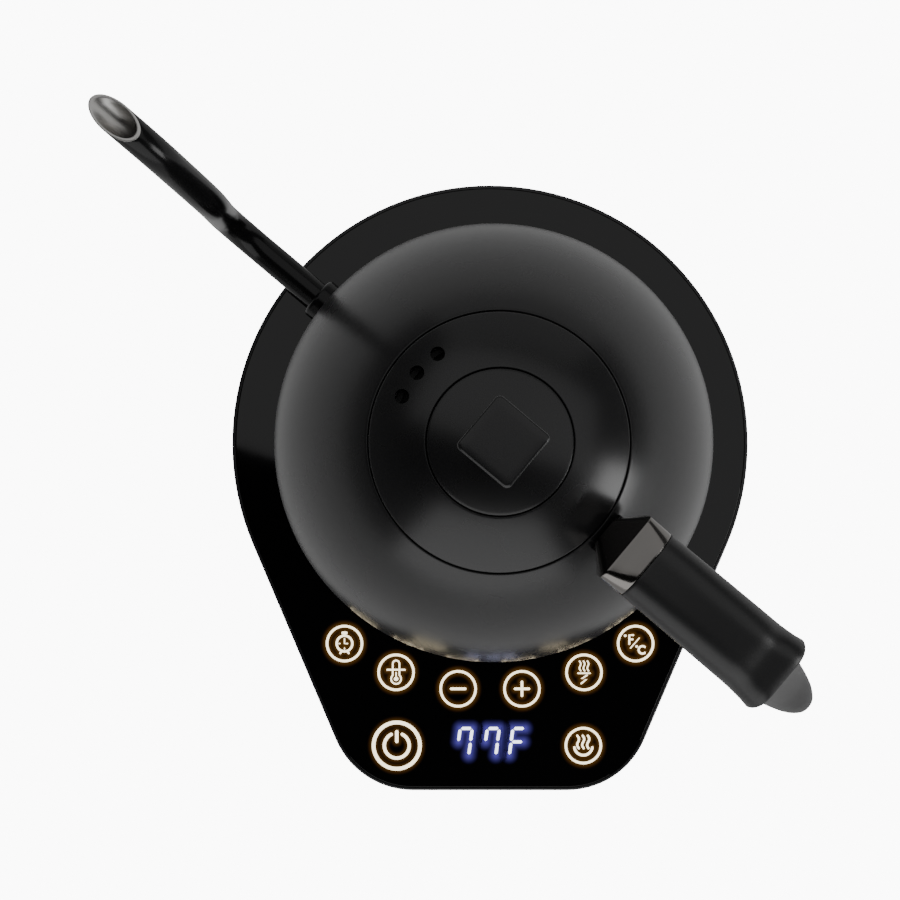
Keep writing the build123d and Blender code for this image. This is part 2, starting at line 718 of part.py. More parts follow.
def make_handle_bracket():
    """Steel stem that grows out of the shell beside the lid and carries the ferrule."""
    root_z = body_height(BRACKET_START)
    root = handle_section(BRACKET_START, root_z + 2, 8, 9, 6, 2.6)
    tip = handle_section(FERRULE_START - 0.1, ARM_Z - 1, 0, ARM_W - 0.1, ARM_H, 3)
    stem = loft([root, tip])
    foot_profile = Polyline((BRACKET_START + 0.5, root_z - 8), (BRACKET_START + 0.5, root_z + 1),
                            (FERRULE_START - 0.1, ARM_Z - 1), (FERRULE_START - 0.1, root_z - 20),
                            close=True)
    foot = extrude(make_face(Plane.XZ * foot_profile), 6, both=True)
    bracket = stem + foot
    bracket -= body_core(-JOINT_GAP, LID_CUT_LOW - 20, DOME_TOP + JOINT_GAP)
    return on_handle(bracket)


def tang_slot(gap):
    """Straight steel core from the ferrule into the arm."""
    length = ARM_END - 14 - FERRULE_START
    middle = FERRULE_START + length / 2
    return Pos(middle, 0, ARM_Z - 1.5) * Box(length + 2 * gap, TANG_W + 2 * gap, TANG_H + 2 * gap)


def make_handle_ferrule():
    start = handle_section(FERRULE_START, ARM_Z - 1, 0, ARM_W, ARM_H, 3)
    stop = handle_section(ARM_START - 0.1, ARM_Z, 0, ARM_W, ARM_H, 7)
    return on_handle(loft([start, stop]) - tang_slot(JOINT_GAP))


def make_handle_arm():
    """Upper grip moulding, ending in a flared thumb lip."""
    span = ARM_END - ARM_START
    stations = (
        (0.0, 0.0, 0, ARM_W, ARM_H, 7.0),
        (0.35, -0.8, -4, ARM_W + 0.3, ARM_H + 0.6, 7.2),
        (0.70, -3.4, -10, ARM_W + 0.9, ARM_H + 1.6, 7.4),
        (0.90, -5.6, -14, LIP_W - 0.6, ARM_H + 1.2, 7.2),
        (1.0, -7.0, -18, LIP_W, ARM_H - 2.0, 5.8),
    )
    sections = [
        handle_section(ARM_START + share * span, ARM_Z + drop, slope, width, height, corner)
        for share, drop, slope, width, height, corner in stations
    ]
    arm = loft(sections) - tang_slot(JOINT_GAP)
    return on_handle(arm - grip_cut())


def grip_cut():
    """Everything below the seam between the arm and the grip's tail."""
    seam = Plane(origin=(ARM_END - 8, 0, ARM_Z - 11.5), z_dir=(0.2, 0, 1))
    return seam * Pos(0, 0, -30) * Box(60, 60, 30, align=CENTRED)


def make_handle_grip():
    """Pistol part of the grip: it leans outwards and runs to a rounded toe."""
    drop = ARM_Z - 8 - TAIL_LOW
    reach = TAIL_REACH - (ARM_END - 12)
    stations = (
        (0.0, 0.0, -84, 20.5, 22.0, 8.0),
        (0.10, 0.22, -80, 20.0, 22.0, 9.0),
        (0.28, 0.48, -72, 19.0, 20.5, 8.5),
        (0.52, 0.74, -62, 16.0, 17.5, 7.0),
        (0.78, 0.92, -50, 10.5, 12.5, 4.8),
        (0.94, 1.0, -42, 4.5, 6.0, 2.1),
    )
    sections = [
        handle_section(ARM_END - 12 + share * reach, ARM_Z - 8 - fall * drop, slope, width, height, corner)
        for share, fall, slope, width, height, corner in stations
    ]
    seam = Plane(origin=(ARM_END - 8, 0, ARM_Z - 11.5 - JOINT_GAP), z_dir=(0.2, 0, 1))
    return on_handle(loft(sections) - seam * Box(80, 60, 30, align=CENTRED))


def make_tang():
    tang = tang_slot(0)
    tang -= disc(1.3, ARM_Z - 10, ARM_Z + 10, GRIP_SCREW_REACH)
    tang -= disc(1.3, ARM_Z - 10, ARM_Z + 10, ARM_START + 8)
    return on_handle(tang)


def make_handle_screws():
    """Two screws from below that hold the arm moulding to the steel core."""
    low = ARM_Z - ARM_H / 2 - 1.0
    screws = [screw_up(2.2, low, 1.2, ARM_Z + 0.5, reach, 0, 1.2) for reach in (ARM_START + 8, GRIP_SCREW_REACH)]
    return on_handle(group(screws))


def screw_bores():
    low = ARM_Z - ARM_H / 2 - 4
    bores = []
    for reach in (ARM_START + 8, GRIP_SCREW_REACH):
        bores.append(disc(1.3, low, ARM_Z + 0.6, reach) + disc(2.4, low, ARM_Z - ARM_H / 2 + 0.3, reach))
    return on_handle(bores[0] + bores[1])


# ---------------------------------------------------------------- lid

def vent_places():
    return [polar(VENT_CIRCLE, SPOUT_AZIMUTH + step * VENT_STEP) for step in (-1, 0, 1)]


def make_lid_cover():
    cover = dome_layer(0, LID_T, DISC_R + DISC_SEAM / 2, LID_R - LID_SEAM / 2)
    for x, y in vent_places():
        cover -= disc(VENT_R, DOME_TOP - 30, DOME_TOP, x, y)
    return cover


PLUG_BOTTOM = rim_level() - PLUG_H
SEAL_LOW = PLUG_BOTTOM + 3.5
SEAL_HIGH = SEAL_LOW + SEAL_H


def make_lid_cup():
    """Inner plug: grooved wall, steam holes in its floor, and a top that follows the cover."""
    inner = GROOVE_R - PLUG_WALL
    top = DOME_TOP
    wall = ring(inner, GROOVE_R, PLUG_BOTTOM, top)
    wall += ring(inner, PLUG_R, PLUG_BOTTOM, SEAL_LOW - SEAT_GAP)
    wall += ring(inner, PLUG_R, SEAL_HIGH + SEAT_GAP, top)
    wall &= body_core(LID_T + JOINT_GAP, PLUG_BOTTOM - 1, DOME_TOP - LID_T - JOINT_GAP)
    cup = wall + disc(inner + 0.5, PLUG_BOTTOM, PLUG_BOTTOM + 1.2)
    for angle in range(0, 360, 60):
        x, y = polar(inner * 0.6, angle)
        cup -= disc(2.0, PLUG_BOTTOM - 1, PLUG_BOTTOM + 3, x, y)
    for x, y in vent_places():
        cup -= disc(VENT_R, SEAL_HIGH, DOME_TOP, x, y)
    return cup


def make_lid_seal():
    return ring(GROOVE_R + SEAT_GAP, COLLAR_R - SEAT_GAP, SEAL_LOW, SEAL_HIGH)


def make_lid_disc():
    """Centre disc that carries the knob, with a ledge under the cover's edge."""
    face = dome_layer(0, LID_T + DISC_T, 0, DISC_R - DISC_SEAM / 2)
    ledge = dome_layer(LID_T + JOINT_GAP, LID_T + DISC_T, 0, DISC_R + 3.5)
    return face + ledge - disc(1.7, DOME_TOP - 10, DOME_TOP + 1)


def make_lid_knob():
    """Square knob that widens upwards, with softened edges."""
    foot = Pos(0, 0, KNOB_FOOT_Z) * RectangleRounded(KNOB_FOOT_W, KNOB_FOOT_W, 1.2)
    head = Pos(0, 0, KNOB_TOP - 3) * RectangleRounded(KNOB_W, KNOB_W, 1.4)
    knob = loft([foot, head])
    knob += extrude(head, 3)
    knob = fillet(knob.edges().group_by(Axis.Z)[-1], 0.6)
    knob -= disc(1.6, KNOB_FOOT_Z - 1, KNOB_FOOT_Z + 12)
    knob -= body_core(-JOINT_GAP, LID_CUT_LOW, DOME_TOP + JOINT_GAP)
    return Rot(0, 0, SPOUT_AZIMUTH) * knob


def main():
    os.makedirs("parts", exist_ok=True)
    board_top = BOARD_Z + BOARD_T
    # power base
    save("base_casing", make_base_casing())
    save("touch_glass", make_touch_glass())
    save("base_bottom_cover", make_bottom_cover())
    save("base_feet", group(make_foot(x, y) for x, y in foot_places()))
    cover_head = FOOT_LIFT + 0.1
    save("base_screws", group(
        screw_up(COVER_SCREW_HEAD, cover_head, CASE_SCREW_R, DECK_BOTTOM - 4, x, y, 1.4)
        for x, y in case_screw_places()))
    save("cord_bush", make_cord_bush())
    save("connector_housing", make_connector_housing())
    save("connector_contacts", make_connector_contacts())
    save("connector_screws", group(
        screw_up(2.2, DECK_BOTTOM - 5, 1.1, DECK_BOTTOM, *polar(BARREL_R + 3.2, angle))
        for angle in (90, 210, 330)))
    save("power_board", make_power_board())
    save("board_screws", group(
        Pos(x, y, 0) * Rot(180, 0, 0) * screw_up(2.0, -board_top - 1.2, BOARD_SCREW_R, -COVER_TOP, 0, 0, 1.2)
        for x, y in board_posts()))
    save("relay", slab(18, 14, board_top, board_top + 9, -19, BOARD_FRONT + 11))
    save("transformer", make_transformer(3.5, BOARD_FRONT + 11, board_top))
    save("capacitors", group(
        fillet(disc(3.0, board_top, board_top + 9, 16, BOARD_FRONT + y).edges().group_by(Axis.Z)[-1], 0.4)
        for y in (8, 15)))
    save("triac_heatsink", make_heatsink(24.5, BOARD_FRONT + 7, board_top))
    save("fuse", Pos(-20, BOARD_FRONT + 25, board_top + 2.6) * Rot(0, 90, 0) * Cylinder(2.6, 18))
    save("varistor", Pos(-4, BOARD_FRONT + 23.5, board_top + 4.2) * Rot(90, 0, 0) * Cylinder(4.2, 3))
    save("buzzer", disc(5, board_top, board_top + 7, 14, BOARD_FRONT + 25))
    save("terminal_block", make_terminal_block())
    save("mains_wires", make_mains_wires())
    save("connector_wires", make_connector_wires())
    save("control_board", make_control_board())
    save("icon_reflector", make_icon_reflector())
    save("touch_foams", make_touch_foams())
    save("icon_lamps", make_icon_lamps())
    save("display_module", make_display())
    save("board_ribbon", make_board_ribbon())
    # rotary half of the connector
    save("kettle_connector", make_kettle_connector())
    save("connector_rings", make_connector_rings())
    save("connector_pin", disc(PIN_R, BASE_H + 2.5, COUPLER_DISC))
    # kettle
    save("kettle_shell", make_kettle_shell())
    save("mouth_collar", make_mouth_collar())
    save("bottom_housing", make_bottom_housing())
    save("bottom_seal", make_bottom_seal())
    save("heater_plate", make_heater_plate())
    save("heat_spreader", make_heat_spreader())
    save("heating_element", make_heating_element())
    save("thermal_cutout", make_thermal_cutout())
    save("temperature_probe", make_probe())
    save("probe_seal", ring(PROBE_R + SCREW_GAP, PROBE_R + 3, PLATE_TOP, PLATE_TOP + 2, PROBE_X, 0))
    save("bottom_screws", group(
        screw_up(BOTTOM_HEAD_R, KETTLE_Z + 0.8, BOTTOM_SCREW_R, PLATE_UNDER - 3, x, y, HOUSING_WALL - 0.8)
        for x, y in bottom_screw_places()))
    save("element_wires", make_element_wires())
    save("spout_tube", make_spout_tube())
    save("spout_collar", make_spout_collar())
    save("handle_bracket", make_handle_bracket())
    save("handle_ferrule", make_handle_ferrule())
    save("handle_tang", make_tang())
    bores = screw_bores()
    save("handle_arm", make_handle_arm() - bores)
    save("handle_grip", make_handle_grip() - bores)
    save("handle_screws", make_handle_screws())
    # lid
    save("lid_seal", make_lid_seal())
    save("lid_cover", make_lid_cover())
    save("lid_cup", make_lid_cup())
    save("lid_disc", make_lid_disc())
    save("lid_knob", make_lid_knob())
    screw_low = DOME_TOP - LID_T - DISC_T - 3.2
    save("knob_washer", ring(1.7, 5.5, screw_low + 1.8, screw_low + 2.8))
    save("knob_screw", screw_up(3.2, screw_low, 1.5, KNOB_FOOT_Z + 11, 0, 0, 1.8))


main()
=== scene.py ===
# %% [markdown]
# A gooseneck kettle on its touch-control power base, dressed for its portrait.
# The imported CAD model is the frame: it fixes every place and size, and the pieces made here ride on its bodies.
# Everything is in metres, with +Z up, the kettle's axis at the origin and the control panel towards -Y.

# %% Load the frame
from math import acos, asin, atan2, cos, hypot, pi, radians, sin, tan

import bmesh
import bpy
import numpy as np
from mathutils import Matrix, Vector


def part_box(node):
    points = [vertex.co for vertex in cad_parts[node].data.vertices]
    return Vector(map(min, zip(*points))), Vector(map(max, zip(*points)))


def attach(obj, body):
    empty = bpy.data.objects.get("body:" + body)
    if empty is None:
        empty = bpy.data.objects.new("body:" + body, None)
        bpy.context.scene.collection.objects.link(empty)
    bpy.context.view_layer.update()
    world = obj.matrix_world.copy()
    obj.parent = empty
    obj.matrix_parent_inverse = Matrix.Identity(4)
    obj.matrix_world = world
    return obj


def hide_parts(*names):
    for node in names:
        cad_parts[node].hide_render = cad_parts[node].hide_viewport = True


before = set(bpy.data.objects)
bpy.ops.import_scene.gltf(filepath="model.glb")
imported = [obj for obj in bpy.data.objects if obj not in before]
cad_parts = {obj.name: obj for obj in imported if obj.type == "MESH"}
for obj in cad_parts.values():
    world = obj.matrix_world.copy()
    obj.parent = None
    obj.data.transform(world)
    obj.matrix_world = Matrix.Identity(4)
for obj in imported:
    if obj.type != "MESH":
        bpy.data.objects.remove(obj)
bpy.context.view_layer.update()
MM = 0.001

# %% [markdown]
# The camera hangs straight over the table, a little to the left of the kettle's axis.
# A long lens keeps the perspective flat: tall parts lean outwards only slightly.
# The small shift puts the lens's own axis a few thousandths away from the middle of the picture.

# %% Camera
CAMERA_HEIGHT = 0.650
CAMERA_OFFSET = (-0.0143, -0.0016)
FOCAL_LENGTH = 75.58
LENS_SHIFT = (0.0033, -0.0022)
lens = bpy.data.cameras.new("lens")
lens.lens = FOCAL_LENGTH
lens.sensor_width = 36.0
lens.shift_x, lens.shift_y = LENS_SHIFT
lens.clip_start = 0.01
camera = bpy.data.objects.new("camera", lens)
camera.location = (*CAMERA_OFFSET, CAMERA_HEIGHT)
bpy.context.scene.collection.objects.link(camera)
bpy.context.scene.camera = camera
print("camera height", CAMERA_HEIGHT)

# %% [markdown]
# The room is a pale floor that glows a little, like a light table, under a dim sky.
# Satin black shows only what it reflects, so each card and lamp is placed for the part of the dome that mirrors it.
# The steepest part of the dome mirrors the floor, the shoulder mirrors cards standing at the horizon, and the flat
# glass mirrors a dim card overhead, whose straight edge is the line that crosses it.

# %% Floor and sky
def node(tree, kind, place=(0, 0), **values):
    """Adds a shader or geometry node and sets its inputs and properties by name."""
    made = tree.nodes.new(kind)
    made.location = place
    for key, value in values.items():
        if hasattr(made, key):
            setattr(made, key, value)
        else:
            made.inputs[key.replace("_", " ")].default_value = value
    return made


FLOOR_SIDE = 6.0
FLOOR_GLOW = 0.16
FLOOR_SHOW = 10.0
bpy.ops.mesh.primitive_plane_add(size=FLOOR_SIDE, location=(0, 0, -0.0002))
floor = bpy.context.object
floor.name = "floor"
paper = bpy.data.materials.new("floor_paper")
paper.use_nodes = True
paper_tree = paper.node_tree
paper_shader = paper_tree.nodes["Principled BSDF"]
paper_shader.inputs["Base Color"].default_value = (0.85, 0.85, 0.85, 1)
paper_shader.inputs["Roughness"].default_value = 0.9
paper_shader.inputs["Specular IOR Level"].default_value = 0.1
paper_shader.inputs["Emission Color"].default_value = (1, 1, 1, 1)
seen = node(paper_tree, "ShaderNodeLightPath")
glow = node(paper_tree, "ShaderNodeMapRange")
glow.inputs["To Min"].default_value = FLOOR_GLOW
glow.inputs["To Max"].default_value = FLOOR_SHOW
paper_tree.links.new(seen.outputs["Is Camera Ray"], glow.inputs["Value"])
paper_tree.links.new(glow.outputs["Result"], paper_shader.inputs["Emission Strength"])
floor.data.materials.append(paper)

sky = bpy.data.worlds.new("sky")
sky.use_nodes = True
bpy.context.scene.world = sky
sky_tree = sky.node_tree
sky_glow = sky_tree.nodes["Background"]
direction = node(sky_tree, "ShaderNodeTexCoord")
height = node(sky_tree, "ShaderNodeSeparateXYZ")
ramp = node(sky_tree, "ShaderNodeValToRGB")
ramp.color_ramp.elements[0].position = 0.0
ramp.color_ramp.elements[0].color = (0.10, 0.10, 0.10, 1)
ramp.color_ramp.elements[1].position = 0.6
ramp.color_ramp.elements[1].color = (0.004, 0.004, 0.004, 1)
sky_tree.links.new(direction.outputs["Generated"], height.inputs[0])
sky_tree.links.new(height.outputs["Z"], ramp.inputs[0])
sky_tree.links.new(ramp.outputs[0], sky_glow.inputs["Color"])
sky_glow.inputs["Strength"].default_value = 1.0


def soft_light(name, place, target, size, watts):
    lamp = bpy.data.lights.new(name, "AREA")
    lamp.shape = "RECTANGLE"
    lamp.size, lamp.size_y = size
    lamp.energy = watts
    holder = bpy.data.objects.new(name, lamp)
    holder.location = place
    aim = Vector(target) - Vector(place)
    holder.rotation_euler = aim.to_track_quat("-Z", "Y").to_euler()
    bpy.context.scene.collection.objects.link(holder)
    return holder


soft_light("right_front", (1.08, -0.44, 0.38), (0.03, -0.02, 0.12), (0.50, 0.50), 3.6)

# %% Cards
def glowing_card(name, corners, radiance):
    """A flat card that lights evenly and reflects as a plain shape."""
    mesh = bpy.data.meshes.new(name)
    mesh.from_pydata([tuple(corner) for corner in corners], [], [(0, 1, 2, 3)])
    card = bpy.data.objects.new(name, mesh)
    bpy.context.scene.collection.objects.link(card)
    material = bpy.data.materials.new(name)
    material.use_nodes = True
    tree = material.node_tree
    tree.nodes.remove(tree.nodes["Principled BSDF"])
    lit = node(tree, "ShaderNodeEmission", Color=(1, 1, 1, 1), Strength=radiance)
    tree.links.new(lit.outputs[0], tree.nodes["Material Output"].inputs["Surface"])
    mesh.materials.append(material)
    return card


OVERHEAD_POINT = (-0.22, 0.0013, 1.2)
OVERHEAD_LEAD = 1.5
OVERHEAD_SIZE = (3.5, 1.6)
OVERHEAD_RADIANCE = 0.55
along = Vector((0.448, -0.146, 0)).normalized()
across = Vector((-along.y, along.x, 0)) * OVERHEAD_SIZE[1]
near = Vector(OVERHEAD_POINT) - along * OVERHEAD_LEAD
far = near + along * OVERHEAD_SIZE[0]
glowing_card("overhead_card", [near, near + across, far + across, far], OVERHEAD_RADIANCE)


def standing_card(name, azimuth, distance, width, low, high, radiance):
    """An upright card facing the kettle from an azimuth."""
    out = Vector((cos(radians(azimuth)), sin(radians(azimuth)), 0)) * distance
    side = Vector((-out.y, out.x, 0)).normalized() * width / 2
    corners = [out - side, out + side, out + side, out - side]
    for corner, level in zip(corners, (low, low, high, high)):
        corner.z = level
    glowing_card(name, corners, radiance)


standing_card("rear_card", 80, 1.5, 2.2, 0.02, 1.0, 0.32)
standing_card("front_card", -97, 1.4, 2.1, 0.02, 1.5, 1.35)

# %% [markdown]
# Every finish here is moulded, enamelled or brushed, so a few effects are shared.
# Each shared effect is a small node group with named inputs: fine grain for moulded and sprayed surfaces, drawn
# streaks for brushed steel, and a cloudy smudge that varies the gloss the way handling does.

# %% Shared effect groups
def effect_group(name, inputs, outputs):
    """Starts a shader node group with typed, named sockets."""
    group = bpy.data.node_groups.new(name, "ShaderNodeTree")
    for label, value in inputs:
        socket = group.interface.new_socket(label, in_out="INPUT", socket_type="NodeSocketFloat")
        socket.default_value = value
    for label in outputs:
        kind = "NodeSocketVector" if label == "Normal" else "NodeSocketFloat"
        group.interface.new_socket(label, in_out="OUTPUT", socket_type=kind)
    return group, node(group, "NodeGroupInput"), node(group, "NodeGroupOutput")


def math(tree, operation, first, second=None):
    made = tree.nodes.new("ShaderNodeMath")
    made.operation = operation
    for socket, value in zip(made.inputs, (first, second)):
        if value is None:
            continue
        if isinstance(value, (int, float)):
            socket.default_value = value
        else:
            tree.links.new(value, socket)
    return made.outputs[0]


def build_grain():
    """Fine pebbled height and a matching roughness change, by object position."""
    group, given, result = effect_group("moulded_grain", (("Scale", 2500), ("Depth", 0.1), ("Gloss", 0.4),
                                                          ("Gloss change", 0.05)), ("Normal", "Roughness"))
    place = node(group, "ShaderNodeTexCoord")
    noise = node(group, "ShaderNodeTexNoise", Detail=3.0)
    cloud = node(group, "ShaderNodeTexNoise", Scale=35.0, Detail=4.0)
    bump = node(group, "ShaderNodeBump", Distance=0.0001)
    group.links.new(place.outputs["Object"], noise.inputs["Vector"])
    group.links.new(place.outputs["Object"], cloud.inputs["Vector"])
    group.links.new(given.outputs["Scale"], noise.inputs["Scale"])
    group.links.new(given.outputs["Depth"], bump.inputs["Strength"])
    group.links.new(noise.outputs["Fac"], bump.inputs["Height"])
    swing = math(group, "MULTIPLY", math(group, "SUBTRACT", cloud.outputs["Fac"], 0.5), given.outputs["Gloss change"])
    group.links.new(math(group, "ADD", given.outputs["Gloss"], math(group, "MULTIPLY", swing, 2.0)),
                    result.inputs["Roughness"])
    group.links.new(bump.outputs["Normal"], result.inputs["Normal"])
    return group


def build_brushing():
    """Long fine streaks round an upright axis, as a height and a roughness change."""
    group, given, result = effect_group("brushed_streaks", (("Fineness", 900), ("Depth", 0.15), ("Gloss", 0.25),
                                                            ("Gloss change", 0.1)), ("Normal", "Roughness"))
    place = node(group, "ShaderNodeTexCoord")
    stretch = node(group, "ShaderNodeMapping", Scale=(0.04, 0.04, 1.0))
    noise = node(group, "ShaderNodeTexNoise", Detail=5.0)
    bump = node(group, "ShaderNodeBump", Distance=0.00005)
    group.links.new(place.outputs["Object"], stretch.inputs["Vector"])
    group.links.new(stretch.outputs["Vector"], noise.inputs["Vector"])
    group.links.new(given.outputs["Fineness"], noise.inputs["Scale"])
    group.links.new(given.outputs["Depth"], bump.inputs["Strength"])
    group.links.new(noise.outputs["Fac"], bump.inputs["Height"])
    swing = math(group, "MULTIPLY", math(group, "SUBTRACT", noise.outputs["Fac"], 0.5), given.outputs["Gloss change"])
    group.links.new(math(group, "ADD", given.outputs["Gloss"], swing), result.inputs["Roughness"])
    group.links.new(bump.outputs["Normal"], result.inputs["Normal"])
    return group


EDGE_START = 0.53
EDGE_GAIN = 12.0


def build_edge_wear():
    """A mask that is 1 on convex edges and 0 elsewhere, broken up by noise."""
    group, given, result = effect_group("edge_wear", (("Amount", 0.3), ("Speck size", 400)), ("Mask",))
    place = node(group, "ShaderNodeTexCoord")
    shape = node(group, "ShaderNodeNewGeometry")
    noise = node(group, "ShaderNodeTexNoise", Detail=4.0)
    group.links.new(place.outputs["Object"], noise.inputs["Vector"])
    group.links.new(given.outputs["Speck size"], noise.inputs["Scale"])
    edge = math(group, "MULTIPLY", math(group, "SUBTRACT", shape.outputs["Pointiness"], EDGE_START), EDGE_GAIN)
    broken = math(group, "MULTIPLY", edge, noise.outputs["Fac"])
    scaled = math(group, "MULTIPLY", broken, given.outputs["Amount"])
    clipped = math(group, "MAXIMUM", scaled, 0.0)
    group.links.new(math(group, "MINIMUM", clipped, 1.0), result.inputs["Mask"])
    return group


GRAIN = build_grain()
BRUSHING = build_brushing()
EDGE_WEAR = build_edge_wear()
print("effect groups", GRAIN.name, BRUSHING.name, EDGE_WEAR.name)

# %% [markdown]
# Finishes come next. A finish is a Principled shader with its constants on its own sockets, and one or two of the
# shared groups for what changes over the surface: gloss, grain and a paler tone where edges rub.

# %% Finish maker
def finish(name, colour, effect=GRAIN, metallic=0.0, specular=0.5, coat=0.0, coat_gloss=0.1, wear=None,
           tone=0.0, **settings):
    """A Principled finish whose gloss and bump come from one effect group."""
    material = bpy.data.materials.new(name)
    material.use_nodes = True
    tree = material.node_tree
    shader = tree.nodes["Principled BSDF"]
    shader.inputs["Metallic"].default_value = metallic
    shader.inputs["Specular IOR Level"].default_value = specular
    shader.inputs["Coat Weight"].default_value = coat
    shader.inputs["Coat Roughness"].default_value = coat_gloss
    group = tree.nodes.new("ShaderNodeGroup")
    group.node_tree = effect
    for key, value in settings.items():
        group.inputs[key.replace("_", " ").capitalize()].default_value = value
    tree.links.new(group.outputs["Roughness"], shader.inputs["Roughness"])
    tree.links.new(group.outputs["Normal"], shader.inputs["Normal"])
    place = node(tree, "ShaderNodeTexCoord")
    cloud = node(tree, "ShaderNodeTexNoise", Scale=18.0, Detail=5.0)
    tree.links.new(place.outputs["Object"], cloud.inputs["Vector"])
    blend = node(tree, "ShaderNodeMix", data_type="RGBA")
    lighter = tuple(min(1.0, channel * (1 + tone) + tone * 0.01) for channel in colour)
    blend.inputs[6].default_value = (*colour, 1)
    blend.inputs[7].default_value = (*lighter, 1)
    tree.links.new(cloud.outputs["Fac"], blend.inputs[0])
    last = blend.outputs[2]
    if wear:
        mask = tree.nodes.new("ShaderNodeGroup")
        mask.node_tree = EDGE_WEAR
        mask.inputs["Amount"].default_value = wear[0]
        rub = node(tree, "ShaderNodeMix", data_type="RGBA")
        rub.inputs[7].default_value = (*wear[1], 1)
        tree.links.new(mask.outputs["Mask"], rub.inputs[0])
        tree.links.new(last, rub.inputs[6])
        last = rub.outputs[2]
    tree.links.new(last, shader.inputs["Base Color"])
    return material


# %% The finishes
enamel = finish("satin_black_enamel", (0.010, 0.010, 0.0105), scale=1800, depth=0.06, gloss=0.27, gloss_change=0.03,
                specular=0.55, tone=0.25)
# Painted shade: the spout wears a darker copy of the body enamel, with a lower base colour and weaker specular, so
# the tube reads darker than the body under the same light.
spout_enamel_painted_shade = finish("spout_shade_painted_enamel", (0.006, 0.006, 0.0063), scale=1800, depth=0.05, gloss=0.20,
                      gloss_change=0.03, specular=0.3, tone=0.2)
moulded = finish("moulded_black", (0.014, 0.014, 0.015), scale=1500, depth=0.18, gloss=0.42, gloss_change=0.06,
                 wear=(0.4, (0.05, 0.05, 0.05)), tone=0.3)
grip_skin = finish("soft_grip_black", (0.013, 0.013, 0.0135), scale=2200, depth=0.12, gloss=0.36,
                   gloss_change=0.05, tone=0.3)
case_black = finish("base_casing_black", (0.010, 0.010, 0.011), scale=1600, depth=0.10, gloss=0.34,
                    gloss_change=0.05, wear=(0.3, (0.04, 0.04, 0.04)), tone=0.3)
dark_steel = finish("dark_steel", (0.22, 0.21, 0.20), effect=BRUSHING, metallic=1.0, fineness=1500, depth=0.05,
                    gloss=0.18, gloss_change=0.06, tone=0.05)
bore_steel = finish("spout_bore_steel", (0.62, 0.61, 0.59), effect=BRUSHING, metallic=1.0, fineness=1500,
                    depth=0.08, gloss=0.38, gloss_change=0.06, tone=0.05)
brushed = finish("brushed_steel", (0.55, 0.545, 0.53), effect=BRUSHING, metallic=1.0, fineness=900, depth=0.2,
                 gloss=0.30, gloss_change=0.14, tone=0.08)
zinc = finish("zinc_plated", (0.5, 0.5, 0.5), metallic=1.0, scale=3000, depth=0.08, gloss=0.35, gloss_change=0.1,
              tone=0.1)
brass = finish("contact_brass", (0.78, 0.56, 0.24), metallic=1.0, scale=2500, depth=0.05, gloss=0.25,
               gloss_change=0.1, tone=0.1)
cast = finish("cast_aluminium", (0.66, 0.66, 0.67), metallic=1.0, scale=1400, depth=0.4, gloss=0.48,
              gloss_change=0.12, tone=0.1)
silicone = finish("silicone", (0.62, 0.62, 0.60), scale=1200, depth=0.05, gloss=0.45, gloss_change=0.08, tone=0.1)
rubber = finish("black_rubber", (0.018, 0.018, 0.018), scale=1300, depth=0.3, gloss=0.72, gloss_change=0.08,
                specular=0.3, tone=0.3)
white_plastic = finish("white_moulding", (0.78, 0.78, 0.76), scale=1500, depth=0.1, gloss=0.4, gloss_change=0.06,
                       tone=0.05)
solder_mask = finish("solder_mask", (0.02, 0.12, 0.05), scale=900, depth=0.15, gloss=0.28, gloss_change=0.12,
                     tone=0.4)
varnish = finish("varnished_winding", (0.55, 0.36, 0.08), scale=900, depth=0.3, gloss=0.35, gloss_change=0.1,
                 tone=0.3)
wire_red = finish("wire_sleeve", (0.35, 0.05, 0.04), scale=1500, depth=0.1, gloss=0.4, gloss_change=0.06, tone=0.2)
glass_black = finish("black_touch_glass", (0.0016, 0.0016, 0.0018), scale=700, depth=0.0, gloss=0.035,
                     gloss_change=0.03, specular=0.5, tone=0.2)
print("finishes", len(bpy.data.materials))

# %% [markdown]
# A CAD node that stays visible keeps its exact mesh and only gets a finish.
# The list pairs each finish with the nodes that wear it, inside and out.

# %% Finishes for the CAD nodes
WEARERS = {
    case_black: ["base_casing", "base_bottom_cover"],
    glass_black: ["touch_glass"],
    rubber: ["base_feet", "cord_bush", "touch_foams"],
    zinc: ["base_screws", "connector_screws", "board_screws", "bottom_screws", "handle_screws", "knob_screw",
           "knob_washer", "thermal_cutout"],
    moulded: ["connector_housing", "kettle_connector", "bottom_housing", "relay", "buzzer", "display_module",
              "lid_knob", "handle_arm", "handle_grip", "lid_disc", "lid_cup"],
    brass: ["connector_contacts", "connector_rings", "connector_pin"],
    brushed: ["mouth_collar", "heater_plate", "handle_tang", "temperature_probe", "heating_element"],
    dark_steel: ["handle_ferrule", "handle_bracket"],
    cast: ["heat_spreader", "triac_heatsink", "capacitors"],
    silicone: ["lid_seal", "bottom_seal", "probe_seal"],
    solder_mask: ["power_board", "control_board"],
    white_plastic: ["icon_reflector", "terminal_block", "icon_lamps", "board_ribbon", "fuse"],
    varnish: ["transformer", "varistor"],
    wire_red: ["mains_wires", "connector_wires", "element_wires"],
    enamel: ["kettle_shell", "lid_cover"],
    spout_enamel_painted_shade: ["spout_tube", "spout_collar"],
}
for material, names in WEARERS.items():
    for name in names:
        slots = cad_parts[name].data.materials
        slots.clear()
        slots.append(material)
print("dressed", sum(len(names) for names in WEARERS.values()), "nodes")

# %% [markdown]
# The visible shells are rebuilt here as smooth meshes on the CAD's own sizes, because a lathe, a loft or a swept tube
# gives an even surface that gloss needs. Small helpers do the shared work: rings of points become quads, ends are
# capped, edges sharper than a set angle stay crisp.

